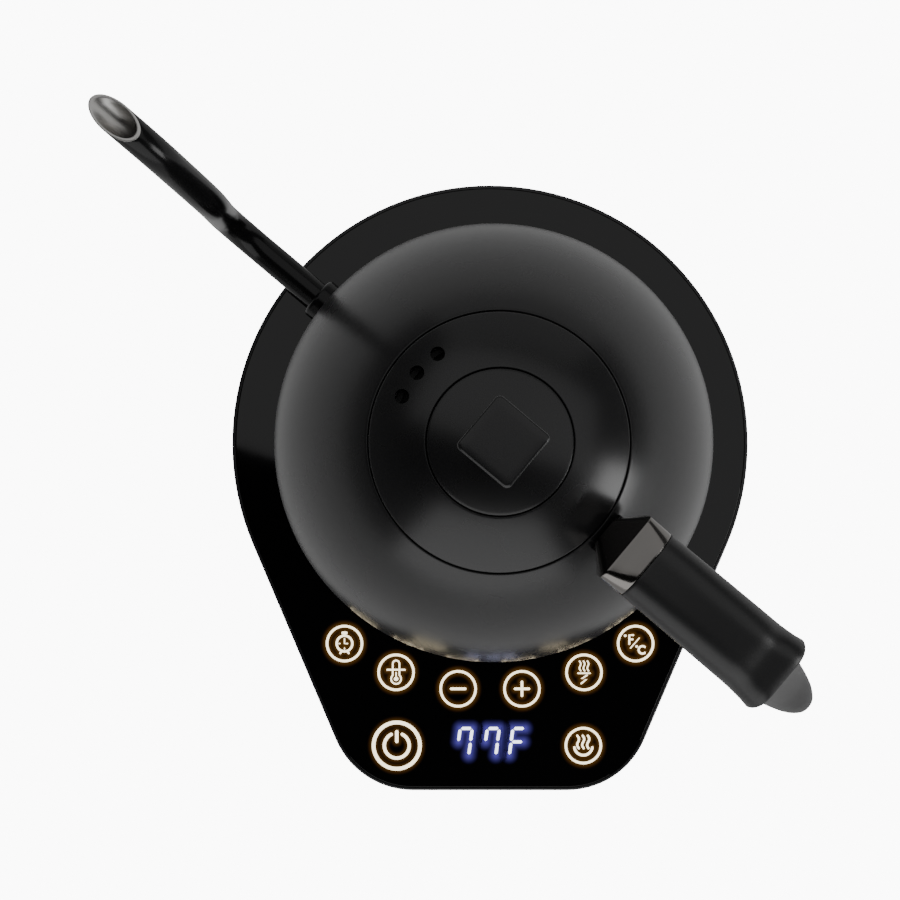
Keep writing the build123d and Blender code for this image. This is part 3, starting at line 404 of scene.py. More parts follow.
# %% Mesh helpers
def add_piece(name, mesh, body, replaces=(), sharp=35):
    piece = bpy.data.objects.new(name, mesh)
    bpy.context.scene.collection.objects.link(piece)
    mesh.shade_smooth()
    mesh.set_sharp_from_angle(angle=radians(sharp))
    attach(piece, body)
    if replaces:
        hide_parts(*replaces)
    print(name, len(mesh.polygons), "faces")
    return piece


def ring_mesh(name, rings, materials, cap_first=False, cap_last=False, closed=False, face_slots=None):
    """Quads between successive rings of points. A closed piece joins the last ring to the first."""
    rings = np.asarray(rings, float)
    count, around, _ = rings.shape
    mesh = bpy.data.meshes.new(name)
    faces = []
    slots = []
    for row in range(count if closed else count - 1):
        here = row * around
        there = ((row + 1) % count) * around
        for step in range(around):
            nearby = (step + 1) % around
            faces.append((here + step, here + nearby, there + nearby, there + step))
            slots.append(face_slots[row] if face_slots else 0)
    if cap_first:
        faces.append(tuple(reversed(range(around))))
        slots.append(face_slots[0] if face_slots else 0)
    if cap_last:
        faces.append(tuple((count - 1) * around + step for step in range(around)))
        slots.append(face_slots[-1] if face_slots else 0)
    mesh.from_pydata([tuple(p) for p in rings.reshape(-1, 3)], [], faces)
    for material in materials:
        mesh.materials.append(material)
    mesh.polygons.foreach_set("material_index", slots)
    mesh.update()
    mend(mesh)
    return mesh


def mend(mesh):
    """Merges doubled points and turns every face outwards."""
    work = bmesh.new()
    work.from_mesh(mesh)
    bmesh.ops.remove_doubles(work, verts=work.verts, dist=1e-7)
    bmesh.ops.recalc_face_normals(work, faces=work.faces)
    work.to_mesh(mesh)
    work.free()


def turned(points, azimuth):
    """Points given along +X, turned about the upright axis."""
    points = np.asarray(points, float)
    c, s = cos(radians(azimuth)), sin(radians(azimuth))
    out = points.copy()
    out[..., 0] = points[..., 0] * c - points[..., 1] * s
    out[..., 1] = points[..., 0] * s + points[..., 1] * c
    return out


def smooth_path(keys, count):
    """Points on a Catmull-Rom curve through rows of numbers."""
    keys = np.asarray(keys, float)
    padded = np.vstack([2 * keys[0] - keys[1], keys, 2 * keys[-1] - keys[-2]])
    out = []
    for value in np.linspace(0, len(keys) - 1, count):
        i = min(int(value), len(keys) - 2)
        t = value - i
        a, b, c, d = padded[i:i + 4]
        out.append(0.5 * (2 * b + (c - a) * t + (2 * a - 5 * b + 4 * c - d) * t ** 2
                          + (3 * b - a - 3 * c + d) * t ** 3))
    return np.array(out)


# %% Sizes read from the frame
shell_low, shell_high = (Vector(corner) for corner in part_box("kettle_shell"))
BODY_R = shell_high.x
DOME_TOP = Vector(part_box("lid_disc")[1]).z
BODY_MID = 0.058
RISE = DOME_TOP - BODY_MID
DROP = 0.072
SHELL_T = 0.001
LID_T = 0.0012
DISC_T = 0.0024
SHELL_EDGE = 0.03635
LID_EDGE = 0.03585
DISC_HOLE = 0.0202
DISC_EDGE = 0.0198
SPOUT_AZIMUTH = 140.0
HANDLE_AZIMUTH = -40.0
print("body radius", round(BODY_R, 4), "dome top", round(DOME_TOP, 4))

# %% [markdown]
# The body, the lid and its centre disc are one oval of revolution cut at different heights.
# A Geometry Nodes tree is the natural way: a flat grid is rolled round the axis by the oval's formula, so the same
# tree gives all three from different start and end angles. Solidify then gives the sheet its wall, and a small
# bevel rounds the cut edges so that the seams catch a thread of light.

# %% Oval wall tree
def geometry_tree(name, inputs):
    tree = bpy.data.node_groups.new(name, "GeometryNodeTree")
    tree.is_modifier = True
    tree.interface.new_socket("Geometry", in_out="INPUT", socket_type="NodeSocketGeometry")
    for label, kind, value in inputs:
        socket = tree.interface.new_socket(label, in_out="INPUT", socket_type=f"NodeSocket{kind}")
        if value is not None:
            socket.default_value = value
    tree.interface.new_socket("Geometry", in_out="OUTPUT", socket_type="NodeSocketGeometry")
    return tree, node(tree, "NodeGroupInput"), node(tree, "NodeGroupOutput")


def build_oval_wall():
    sizes = [("Radius", "Float", 0.068), ("Middle", "Float", 0.058), ("Rise", "Float", 0.088),
             ("Drop", "Float", 0.072), ("Start", "Float", -0.3), ("End", "Float", 1.0), ("Around", "Int", 192),
             ("Along", "Int", 60), ("Finish", "Material", None)]
    tree, given, result = geometry_tree("oval_wall", sizes)
    grid = node(tree, "GeometryNodeMeshGrid")
    tree.links.new(given.outputs["Around"], grid.inputs["Vertices X"])
    tree.links.new(given.outputs["Along"], grid.inputs["Vertices Y"])
    place = node(tree, "GeometryNodeInputPosition")
    split = node(tree, "ShaderNodeSeparateXYZ")
    tree.links.new(place.outputs[0], split.inputs[0])
    turn = math(tree, "MULTIPLY", math(tree, "ADD", split.outputs["X"], 0.5), 2 * pi)
    share = math(tree, "ADD", split.outputs["Y"], 0.5)
    span = math(tree, "SUBTRACT", given.outputs["End"], given.outputs["Start"])
    angle = math(tree, "ADD", given.outputs["Start"], math(tree, "MULTIPLY", share, span))
    upper = math(tree, "GREATER_THAN", angle, 0.0)
    extra = math(tree, "SUBTRACT", given.outputs["Rise"], given.outputs["Drop"])
    half = math(tree, "ADD", given.outputs["Drop"], math(tree, "MULTIPLY", upper, extra))
    level = math(tree, "ADD", given.outputs["Middle"], math(tree, "MULTIPLY", half, math(tree, "SINE", angle)))
    reach = math(tree, "MULTIPLY", given.outputs["Radius"], math(tree, "COSINE", angle))
    point = node(tree, "ShaderNodeCombineXYZ")
    tree.links.new(math(tree, "MULTIPLY", reach, math(tree, "COSINE", turn)), point.inputs["X"])
    tree.links.new(math(tree, "MULTIPLY", reach, math(tree, "SINE", turn)), point.inputs["Y"])
    tree.links.new(level, point.inputs["Z"])
    moved = node(tree, "GeometryNodeSetPosition")
    tree.links.new(grid.outputs["Mesh"], moved.inputs["Geometry"])
    tree.links.new(point.outputs[0], moved.inputs["Position"])
    merged = node(tree, "GeometryNodeMergeByDistance", Distance=1e-6)
    tree.links.new(moved.outputs[0], merged.inputs["Geometry"])
    real = node(tree, "GeometryNodeRealizeInstances")
    tree.links.new(merged.outputs[0], real.inputs[0])
    painted = node(tree, "GeometryNodeSetMaterial")
    tree.links.new(real.outputs[0], painted.inputs["Geometry"])
    tree.links.new(given.outputs["Finish"], painted.inputs["Material"])
    tree.links.new(painted.outputs[0], result.inputs["Geometry"])
    return tree


def grown(name, tree, values, finishers=()):
    """Runs a tree on an empty mesh, then modifiers given as (kind, settings), and keeps the result as a mesh."""
    holder = bpy.data.objects.new(name, bpy.data.meshes.new(name))
    bpy.context.scene.collection.objects.link(holder)
    modifier = holder.modifiers.new("tree", "NODES")
    modifier.node_group = tree
    labels = {item.name: item.identifier for item in tree.interface.items_tree if item.in_out == "INPUT"}
    for label, value in values.items():
        modifier[labels[label]] = value
    for kind, settings in finishers:
        extra = holder.modifiers.new(kind.lower(), kind)
        for key, value in settings.items():
            setattr(extra, key, value)
    graph = bpy.context.evaluated_depsgraph_get()
    mesh = bpy.data.meshes.new_from_object(holder.evaluated_get(graph))
    bpy.data.objects.remove(holder)
    mesh.name = name
    return mesh


OVAL_WALL = build_oval_wall()


def oval_angle(radius):
    return acos(radius / BODY_R)


def oval_part(name, start, end, thickness, along, material, bevel=0.00025):
    finishers = [("SOLIDIFY", {"thickness": thickness, "offset": -1.0, "use_even_offset": True})]
    if bevel:
        finishers.append(("BEVEL", {"width": bevel, "segments": 3, "limit_method": "ANGLE",
                                    "angle_limit": radians(50)}))
    values = {"Radius": BODY_R, "Middle": BODY_MID, "Rise": RISE, "Drop": DROP, "Start": start, "End": end,
              "Around": 193, "Along": along, "Finish": material}
    return grown(name, OVAL_WALL, values, finishers)


# %% Body shell
start_angle = asin((shell_low.z - BODY_MID) / DROP)
shell_mesh = oval_part("body_shell", start_angle, oval_angle(SHELL_EDGE), SHELL_T, 90, enamel)
add_piece("body_shell", shell_mesh, "kettle", ["kettle_shell"])

# %% Lid disc
disc_mesh = oval_part("lid_centre", oval_angle(DISC_EDGE), pi / 2, DISC_T, 24, enamel, bevel=0.0002)
add_piece("lid_centre", disc_mesh, "lid", ["lid_disc"])

# %% [markdown]
# The lid needs its three steam holes. The holes sit on a circle at even steps, so a tree instances a cutter on points
# along that arc, and one boolean takes them all out of the lid. The cut lid is then a plain mesh like the rest.

# %% Steam hole cutters
def build_arc_copies():
    """Copies of a short cylinder on points along an arc."""
    sizes = [("Circle", "Float", 0.0293), ("Middle angle", "Float", 2.44), ("Step", "Float", 0.26),
             ("Count", "Int", 3), ("Hole radius", "Float", 0.002), ("Level", "Float", 0.135),
             ("Finish", "Material", None)]
    tree, given, result = geometry_tree("arc_copies", sizes)
    points = node(tree, "GeometryNodePoints")
    tree.links.new(given.outputs["Count"], points.inputs["Count"])
    index = node(tree, "GeometryNodeInputIndex")
    last = math(tree, "SUBTRACT", given.outputs["Count"], 1.0)
    offset = math(tree, "SUBTRACT", index.outputs[0], math(tree, "MULTIPLY", last, 0.5))
    angle = math(tree, "ADD", given.outputs["Middle angle"], math(tree, "MULTIPLY", offset, given.outputs["Step"]))
    place = node(tree, "ShaderNodeCombineXYZ")
    tree.links.new(math(tree, "MULTIPLY", given.outputs["Circle"], math(tree, "COSINE", angle)), place.inputs["X"])
    tree.links.new(math(tree, "MULTIPLY", given.outputs["Circle"], math(tree, "SINE", angle)), place.inputs["Y"])
    tree.links.new(given.outputs["Level"], place.inputs["Z"])
    moved = node(tree, "GeometryNodeSetPosition")
    tree.links.new(points.outputs[0], moved.inputs["Geometry"])
    tree.links.new(place.outputs[0], moved.inputs["Position"])
    cutter = node(tree, "GeometryNodeMeshCylinder", Vertices=32, Depth=0.03)
    tree.links.new(given.outputs["Hole radius"], cutter.inputs["Radius"])
    copies = node(tree, "GeometryNodeInstanceOnPoints")
    tree.links.new(moved.outputs[0], copies.inputs["Points"])
    tree.links.new(cutter.outputs["Mesh"], copies.inputs["Instance"])
    real = node(tree, "GeometryNodeRealizeInstances")
    tree.links.new(copies.outputs[0], real.inputs[0])
    painted = node(tree, "GeometryNodeSetMaterial")
    tree.links.new(real.outputs[0], painted.inputs["Geometry"])
    tree.links.new(given.outputs["Finish"], painted.inputs["Material"])
    tree.links.new(painted.outputs[0], result.inputs["Geometry"])
    return tree


ARC_COPIES = build_arc_copies()
STEAM_STEP = 14.9
cutter_mesh = grown("steam_cutters", ARC_COPIES, {"Middle angle": radians(SPOUT_AZIMUTH),
                                                  "Step": radians(STEAM_STEP), "Finish": enamel})
cutters = bpy.data.objects.new("steam_cutters", cutter_mesh)
bpy.context.scene.collection.objects.link(cutters)

# %% Lid cover
cover_mesh = oval_part("lid_dome", oval_angle(LID_EDGE), oval_angle(DISC_HOLE), LID_T, 28, enamel)
blank = bpy.data.objects.new("lid_blank", cover_mesh)
bpy.context.scene.collection.objects.link(blank)
cut = blank.modifiers.new("holes", "BOOLEAN")
cut.operation = "DIFFERENCE"
cut.object = cutters
cut.solver = "EXACT"
dome_mesh = bpy.data.meshes.new_from_object(blank.evaluated_get(bpy.context.evaluated_depsgraph_get()))
for leftover in (blank, cutters):
    bpy.data.objects.remove(leftover)
add_piece("lid_dome", dome_mesh, "lid", ["lid_cover"])

# %% [markdown]
# The knob is a square pad on an upturned pyramid. Its soft edges are what the light finds, so it is a loft of rounded
# squares whose corners and top edge are modelled, not left to bump.

# %% Lid knob
def rounded_square(half, corner, level, per_corner=8):
    points = []
    for quarter in range(4):
        middle = pi / 4 + quarter * pi / 2
        cx = (half - corner) * (1 if cos(middle) > 0 else -1)
        cy = (half - corner) * (1 if sin(middle) > 0 else -1)
        for step in range(per_corner + 1):
            angle = quarter * pi / 2 + step / per_corner * pi / 2
            points.append((cx + corner * cos(angle), cy + corner * sin(angle), level))
    return points


KNOB_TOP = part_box("lid_knob")[1][2]
KNOB_HALF = 0.0088
KNOB_FOOT_HALF = 0.00575
KNOB_FOOT = DOME_TOP - 0.0006
NECK_RISE = KNOB_TOP - 0.003 - DOME_TOP
NECK_CORNER = 0.0014
PAD_CORNER = 0.0016
PAD_CROWN = 0.00004
knob_rings = []
for share in np.linspace(0, 1, 12):
    half = KNOB_FOOT_HALF + (KNOB_HALF - KNOB_FOOT_HALF) * share ** 1.15
    knob_rings.append(rounded_square(half, NECK_CORNER, KNOB_FOOT + NECK_RISE * share))
EDGE = 0.0009
for angle in np.linspace(0, pi / 2, 6):
    half = KNOB_HALF - EDGE * (1 - cos(angle))
    knob_rings.append(rounded_square(half, PAD_CORNER, KNOB_TOP - EDGE * (1 - sin(angle))))
for share in (0.8, 0.5, 0.2):
    knob_rings.append(rounded_square((KNOB_HALF - EDGE) * share, PAD_CORNER * share, KNOB_TOP + PAD_CROWN))
knob_mesh = ring_mesh("lid_grip_knob", turned(knob_rings, SPOUT_AZIMUTH), [enamel], cap_first=True, cap_last=True)
add_piece("lid_grip_knob", knob_mesh, "lid", ["lid_knob"], sharp=50)

# %% [markdown]
# The spout is a thin tube on a gooseneck path: out of the belly, up, and over to the mouth. It is swept here as two
# skins, enamel outside and bare steel inside, and its end points slide along the tube onto a slanting plane, which is
# how the real one is sawn. The rounded rim between the skins is bare steel too.

# %% Spout path
TUBE_R = 0.0045
BORE_R = 0.0038
UPRIGHT = BODY_R + 0.0415
ROOT_Z = 0.0495
TIP_Z = 0.150
spout_corners = [
    ((BODY_R - 0.006, ROOT_Z), 0.0),
    ((UPRIGHT + 0.0005, ROOT_Z + 0.001), 0.016),
    ((UPRIGHT - 0.0017, TIP_Z - 0.045), 0.055),
    ((UPRIGHT + 0.0125, TIP_Z - 0.0092), 0.022),
    ((UPRIGHT + 0.034, TIP_Z + 0.0003), 0.0),
]


def filleted(corners, step=0.0012):
    """Points along straight runs joined by tangent arcs, in a plane."""
    points = [Vector(corners[0][0])]
    for (before, _), (corner, radius), (after, _) in zip(corners, corners[1:], corners[2:]):
        before, corner, after = Vector(before), Vector(corner), Vector(after)
        come = (corner - before).normalized()
        go = (after - corner).normalized()
        turn = come.angle_signed(go)
        setback = radius * tan(abs(turn) / 2)
        side = Vector((-come.y, come.x)) * (1 if turn < 0 else -1)
        centre = corner - come * setback + side * radius
        start = corner - come * setback
        arm = start - centre
        steps = max(3, int(radius * abs(turn) / step))
        for i in range(steps + 1):
            angle = -turn * i / steps
            points.append(centre + Vector((arm.x * cos(angle) - arm.y * sin(angle),
                                           arm.x * sin(angle) + arm.y * cos(angle))))
    points.append(Vector(corners[-1][0]))
    dense = [points[0]]
    for start, stop in zip(points, points[1:]):
        pieces = max(1, int((stop - start).length / (step * 2)))
        dense += [start + (stop - start) * k / pieces for k in range(1, pieces + 1)]
    return dense


path = filleted(spout_corners)
print("spout path", len(path), "points")

# %% Spout tube
def tube_rings(line, radius, steps=48):
    rings = []
    for i, point in enumerate(line):
        ahead = line[min(i + 1, len(line) - 1)] - line[max(i - 1, 0)]
        ahead.normalize()
        across = Vector((-ahead.y, ahead.x))
        ring = []
        for step in range(steps):
            angle = 2 * pi * step / steps
            flat = point + across * radius * sin(angle)
            ring.append((flat.x, radius * cos(angle), flat.y))
        rings.append(ring)
    return rings


CUT = radians(83)
CUT_DEPTH = 0.005
RIM_BEVEL = 0.0002
STRETCH = 14
facing = Vector((cos(CUT), 0, sin(CUT)))
tip = Vector((path[-1].x, 0, path[-1].y)) - facing * CUT_DEPTH
run = path[-1] - path[-2]
run = Vector((run.x, 0, run.y)).normalized()


def sawn_skin(radius, allowance):
    """The tube's rings, with every point that lies beyond the cut slid back onto it along its own line."""
    skin = np.array(tube_rings(path, radius))
    plane = np.array(facing)
    limit = np.dot(np.array(tip), plane) - allowance * abs(run.dot(facing))
    for strand in range(skin.shape[1]):
        line = skin[:, strand]
        beyond = np.nonzero(line @ plane > limit)[0]
        beyond = beyond[beyond > len(path) // 2]
        if not len(beyond):
            continue
        first = beyond[0]
        before, after = line[first - 1], line[first]
        share = (limit - before @ plane) / ((after - before) @ plane)
        cut_point = before + (after - before) * share
        spare = len(path) - first
        back = min(first - 1, STRETCH)
        reach = np.linspace(first - 1 - back, first - 1 + share, back + spare + 1)
        places = np.arange(len(path))
        skin[first - 1 - back:, strand] = np.array([[np.interp(t, places, line[:, axis]) for axis in range(3)]
                                                    for t in reach])
        skin[-1, strand] = cut_point
    return [[tuple(point) for point in ring] for ring in skin]


outer = sawn_skin(TUBE_R, RIM_BEVEL)
inner = sawn_skin(BORE_R, RIM_BEVEL)
lip = [sawn_skin(radius, allowance)[-1] for radius, allowance in (
    (TUBE_R - RIM_BEVEL / 2, RIM_BEVEL / 4), ((TUBE_R + BORE_R) / 2, 0.0), (BORE_R + RIM_BEVEL / 2, RIM_BEVEL / 4))]
rings = outer + lip + inner[::-1]
skins = [0] * (len(outer) - 1) + [1] * (len(lip) + len(inner)) + [0]
tube_mesh = ring_mesh("gooseneck_tube", turned(rings, SPOUT_AZIMUTH), [spout_enamel_painted_shade, bore_steel], closed=True,
                      face_slots=skins)
add_piece("gooseneck_tube", tube_mesh, "kettle", ["spout_tube"], sharp=50)

# %% [markdown]
# The handle is three lofts in a row behind the CAD bracket: a dark steel ferrule, the upper arm with
# its flared thumb lip, and the pistol part that leans out to a toe. Each is a loft of rounded sections along a
# curved line. The ferrule's corners grow softer towards the arm, so its side facets widen as they run out.

# %% Loft helper
def rounded_section(reach, level, slope, width, height, corner, bend=10, straight=5):
    """A rounded rectangle square to the handle's line. Slope is in degrees above horizontal."""
    corner = min(corner, width / 2 - 1e-5, height / 2 - 1e-5)
    flat = []
    for quarter in range(4):
        middle = radians(45 + 90 * quarter)
        cx = (width / 2 - corner) * (1 if cos(middle) > 0 else -1)
        cy = (height / 2 - corner) * (1 if sin(middle) > 0 else -1)
        bow = [(cx + corner * cos(a), cy + corner * sin(a))
               for a in np.linspace(radians(90 * quarter), radians(90 * quarter + 90), bend)]
        if flat:
            start = flat[-1]
            flat += [(start[0] + (bow[0][0] - start[0]) * t, start[1] + (bow[0][1] - start[1]) * t)
                     for t in np.linspace(0, 1, straight + 2)[1:-1]]
        flat += bow
    start = flat[-1]
    flat += [(start[0] + (flat[0][0] - start[0]) * t, start[1] + (flat[0][1] - start[1]) * t)
             for t in np.linspace(0, 1, straight + 2)[1:-1]]
    tilt = radians(slope)
    return [(reach - sin(tilt) * y, x, level + cos(tilt) * y) for x, y in flat]


def rounded_ends(stations, first, last, steps=5):
    """Adds stations that round off the two ends by the given radii, inside the stated length."""
    def end(station, inward, radius):
        out = []
        for angle in np.linspace(pi / 2, 0, steps + 1)[:-1]:
            reach, level, slope, width, height, corner = station
            shift = radius * (1 - sin(angle)) * inward
            cut = 2 * radius * (1 - cos(angle))
            out.append((reach + shift * cos(radians(slope)), level + shift * sin(radians(slope)), slope,
                        width - cut, height - cut, max(corner - cut / 2, 0.0002)))
        return out
    body = [tuple(row) for row in stations]
    if first:
        start = end(body[0], 1, first)
        body = start + [row for row in body if row[0] > start[-1][0] + first * 0.3]
    if last:
        stop = end(body[-1], -1, last)
        keep = [row for row in body if abs(row[0] - body[-1][0]) > last * 1.3]
        body = keep + stop[::-1]
    return body


def loft_piece(name, keys, count, material, replaces, ends=(0.0003, 0.0003), sharp=40):
    """A loft through smoothed stations of (reach, level, slope, width, height, corner)."""
    stations = rounded_ends(smooth_path(keys, count), *ends)
    rings = [rounded_section(*station) for station in stations]
    mesh = ring_mesh(name, turned(rings, HANDLE_AZIMUTH), [material], cap_first=True, cap_last=True)
    return add_piece(name, mesh, "kettle", replaces, sharp)


FERRULE_START = 0.0437
ARM_START = 0.0515
ARM_END = 0.099
ARM_Z = 0.1395
ARM_W = 0.0213
ARM_H = 0.0150

# %% Ferrule
ferrule_keys = [
    (FERRULE_START, ARM_Z - 0.0010, 0, ARM_W, ARM_H, 0.0030),
    (0.0463, ARM_Z - 0.0007, 0, ARM_W, ARM_H, 0.0042),
    (0.0489, ARM_Z - 0.0003, 0, ARM_W, ARM_H, 0.0056),
    (ARM_START - 0.0001, ARM_Z, 0, ARM_W, ARM_H, 0.0070),
]
loft_piece("grip_ferrule", ferrule_keys, 12, dark_steel, ["handle_ferrule"], ends=(0.0002, 0.0002))

# %% Upper arm and thumb lip
arm_keys = [
    (ARM_START, ARM_Z, 0, ARM_W, ARM_H, 0.0070),
    (0.0595, ARM_Z - 0.0002, -2, 0.0214, 0.0153, 0.0071),
    (0.0681, ARM_Z - 0.0008, -5, 0.0216, 0.0156, 0.0073),
    (0.0765, ARM_Z - 0.0020, -8, 0.0218, 0.0161, 0.0074),
    (0.0848, ARM_Z - 0.0036, -12, 0.0220, 0.0163, 0.0074),
    (0.0905, ARM_Z - 0.0053, -13, 0.0222, 0.0154, 0.0072),
    (0.0955, ARM_Z - 0.0061, -10, 0.0230, 0.0148, 0.0068),
    (ARM_END + 0.0006, ARM_Z - 0.0068, -14, 0.0241, 0.0142, 0.0068),
]
loft_piece("grip_arm", arm_keys, 70, grip_skin, ["handle_arm"], ends=(0.0003, 0.0022), sharp=60)

# %% Pistol part
TOE_DROP = 0.0635
TOE_REACH = 0.040
tail_keys = [(0.087 + share * TOE_REACH, 0.1315 - fall * TOE_DROP, slope, width, tall, corner)
             for share, fall, slope, width, tall, corner in (
                 (0.0, 0.0, -84, 0.0205, 0.0220, 0.0090), (0.10, 0.22, -80, 0.0203, 0.0220, 0.0097),
                 (0.28, 0.48, -72, 0.0200, 0.0208, 0.0098), (0.52, 0.74, -62, 0.0180, 0.0184, 0.0088),
                 (0.78, 0.92, -50, 0.0130, 0.0135, 0.0063), (0.94, 1.0, -42, 0.0060, 0.0068, 0.0029))]
loft_piece("grip_pistol", tail_keys, 60, grip_skin, ["handle_grip"], ends=(0, 0.0019), sharp=60)

# %% [markdown]
# The icons glow through the glass. Each is printed here as thin raised strokes just above it: a ring, and inside it a
# pictogram drawn from lines and arcs. One tree makes every ring, because they repeat; the pictograms are
# short lists of strokes. A faint halo round each stroke is a flat ribbon whose light fades outwards.

# %% Glow finishes
GLASS_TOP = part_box("touch_glass")[1][2]


def glow_finish(name, colour, strength):
    material = bpy.data.materials.new(name)
    material.use_nodes = True
    tree = material.node_tree
    shader = tree.nodes["Principled BSDF"]
    shader.inputs["Roughness"].default_value = 0.3
    shader.inputs["Emission Strength"].default_value = strength
    place = node(tree, "ShaderNodeTexCoord")
    speck = node(tree, "ShaderNodeTexNoise", Scale=900.0, Detail=2.0)
    tree.links.new(place.outputs["Object"], speck.inputs["Vector"])
    mix = node(tree, "ShaderNodeMix", data_type="RGBA")
    mix.inputs[6].default_value = (*colour, 1)
    mix.inputs[7].default_value = (*(c * 0.9 for c in colour), 1)
    tree.links.new(speck.outputs["Fac"], mix.inputs[0])
    tree.links.new(mix.outputs[2], shader.inputs["Emission Color"])
    tree.links.new(mix.outputs[2], shader.inputs["Base Color"])
    return material


def halo_finish(name, colour, strength, share):
    """Light that fades with the piece's own 'glow' attribute, clear where it is gone."""
    material = bpy.data.materials.new(name)
    material.use_nodes = True
    tree = material.node_tree
    shader = tree.nodes["Principled BSDF"]
    shader.inputs["Base Color"].default_value = (0.002, 0.002, 0.002, 1)
    shader.inputs["Roughness"].default_value = 0.05
    shader.inputs["Emission Color"].default_value = (*colour, 1)
    shader.inputs["Emission Strength"].default_value = strength
    fade = node(tree, "ShaderNodeAttribute", attribute_name="glow")
    soft = math(tree, "POWER", fade.outputs["Fac"], 2.0)
    tree.links.new(math(tree, "MULTIPLY", soft, share), shader.inputs["Alpha"])
    return material


warm_glow = glow_finish("warm_icon_light", (1.0, 0.88, 0.62), 3.2)
cool_glow = glow_finish("cool_digit_light", (0.78, 0.82, 1.0), 3.5)
warm_halo = halo_finish("warm_halo", (1.0, 0.42, 0.06), 0.40, 0.38)
cool_halo = halo_finish("cool_halo", (0.16, 0.13, 0.75), 0.8, 0.8)
print("glow over glass at", round(GLASS_TOP, 4))

# %% Stroke maker
INK = 0.00005
STACK = 0.000002
ICON_LIFT = 0.00002
RING_LIFT = 0.00005
HALO_LIFT = 0.00001
DIGIT_HALO_LIFT = 0.000012


def stroke(points, width, closed=False):
    """A flat ribbon with rounded ends along points in a plane: (vertices, faces)."""
    pts = [Vector(p) for p in points]
    count = len(pts)
    left, right = [], []
    for i, p in enumerate(pts):
        if closed:
            ahead = pts[(i + 1) % count] - pts[i - 1]
        else:
            ahead = pts[min(i + 1, count - 1)] - pts[max(i - 1, 0)]
        ahead.normalize()
        side = Vector((-ahead.y, ahead.x)) * width / 2
        left.append(p + side)
        right.append(p - side)
    outline = left + right
    if closed:
        faces = [(i, (i + 1) % count, count + (i + 1) % count, count + i) for i in range(count)]
        return outline, faces
    faces = [(i, i + 1, count + i + 1, count + i) for i in range(count - 1)]
    for end, toward in ((0, pts[0] - pts[1]), (count - 1, pts[-1] - pts[-2])):
        base = atan2(toward.y, toward.x)
        fan = [len(outline) + k for k in range(7)]
        outline += [pts[end] + Vector((cos(base + a), sin(base + a))) * width / 2
                    for a in np.linspace(-pi / 2, pi / 2, 7)]
        faces.append(tuple(fan))
    return outline, faces


def arc(cx, cy, radius, start, stop, steps=24):
    return [(cx + radius * cos(radians(a)), cy + radius * sin(radians(a))) for a in np.linspace(start, stop, steps)]


def circle(cx, cy, radius, steps=48):
    return arc(cx, cy, radius, 0, 360 * (steps - 1) / steps, steps)


def print_strokes(name, strokes, centre, level, material, thickness=INK):
    """Strokes given in millimetres round a centre become one thin raised mesh."""
    verts, faces = [], []
    for index, item in enumerate(strokes):
        points, width = item[0], item[1]
        outline, pieces = stroke(points, width, len(item) > 2 and item[2])
        lift = level + index * STACK
        first = len(verts)
        verts += [(centre[0] + p.x * MM, centre[1] + p.y * MM, lift) for p in outline]
        faces += [tuple(first + i for i in face) for face in pieces]
    mesh = bpy.data.meshes.new(name)
    mesh.from_pydata(verts, [], faces)
    work = bmesh.new()
    work.from_mesh(mesh)
    bmesh.ops.remove_doubles(work, verts=work.verts, dist=1e-8)
    for face in work.faces:
        face.normal_update()
        if face.normal.z < 0:
            face.normal_flip()
    made = bmesh.ops.extrude_face_region(work, geom=work.faces[:])
    tops = [item for item in made["geom"] if isinstance(item, bmesh.types.BMVert)]
    bmesh.ops.translate(work, verts=tops, vec=(0, 0, thickness))
    bmesh.ops.recalc_face_normals(work, faces=work.faces)
    work.to_mesh(mesh)
    work.free()
    mesh.materials.append(material)
    return mesh


# %% Pictograms
def wave(x_low, x_high, low, high, swing):
    """A rising S that leans from one foot to its top."""
    return [(x_low + (x_high - x_low) * t - swing * sin(2 * pi * t), low + (high - low) * t)
            for t in np.linspace(0, 1, 16)]


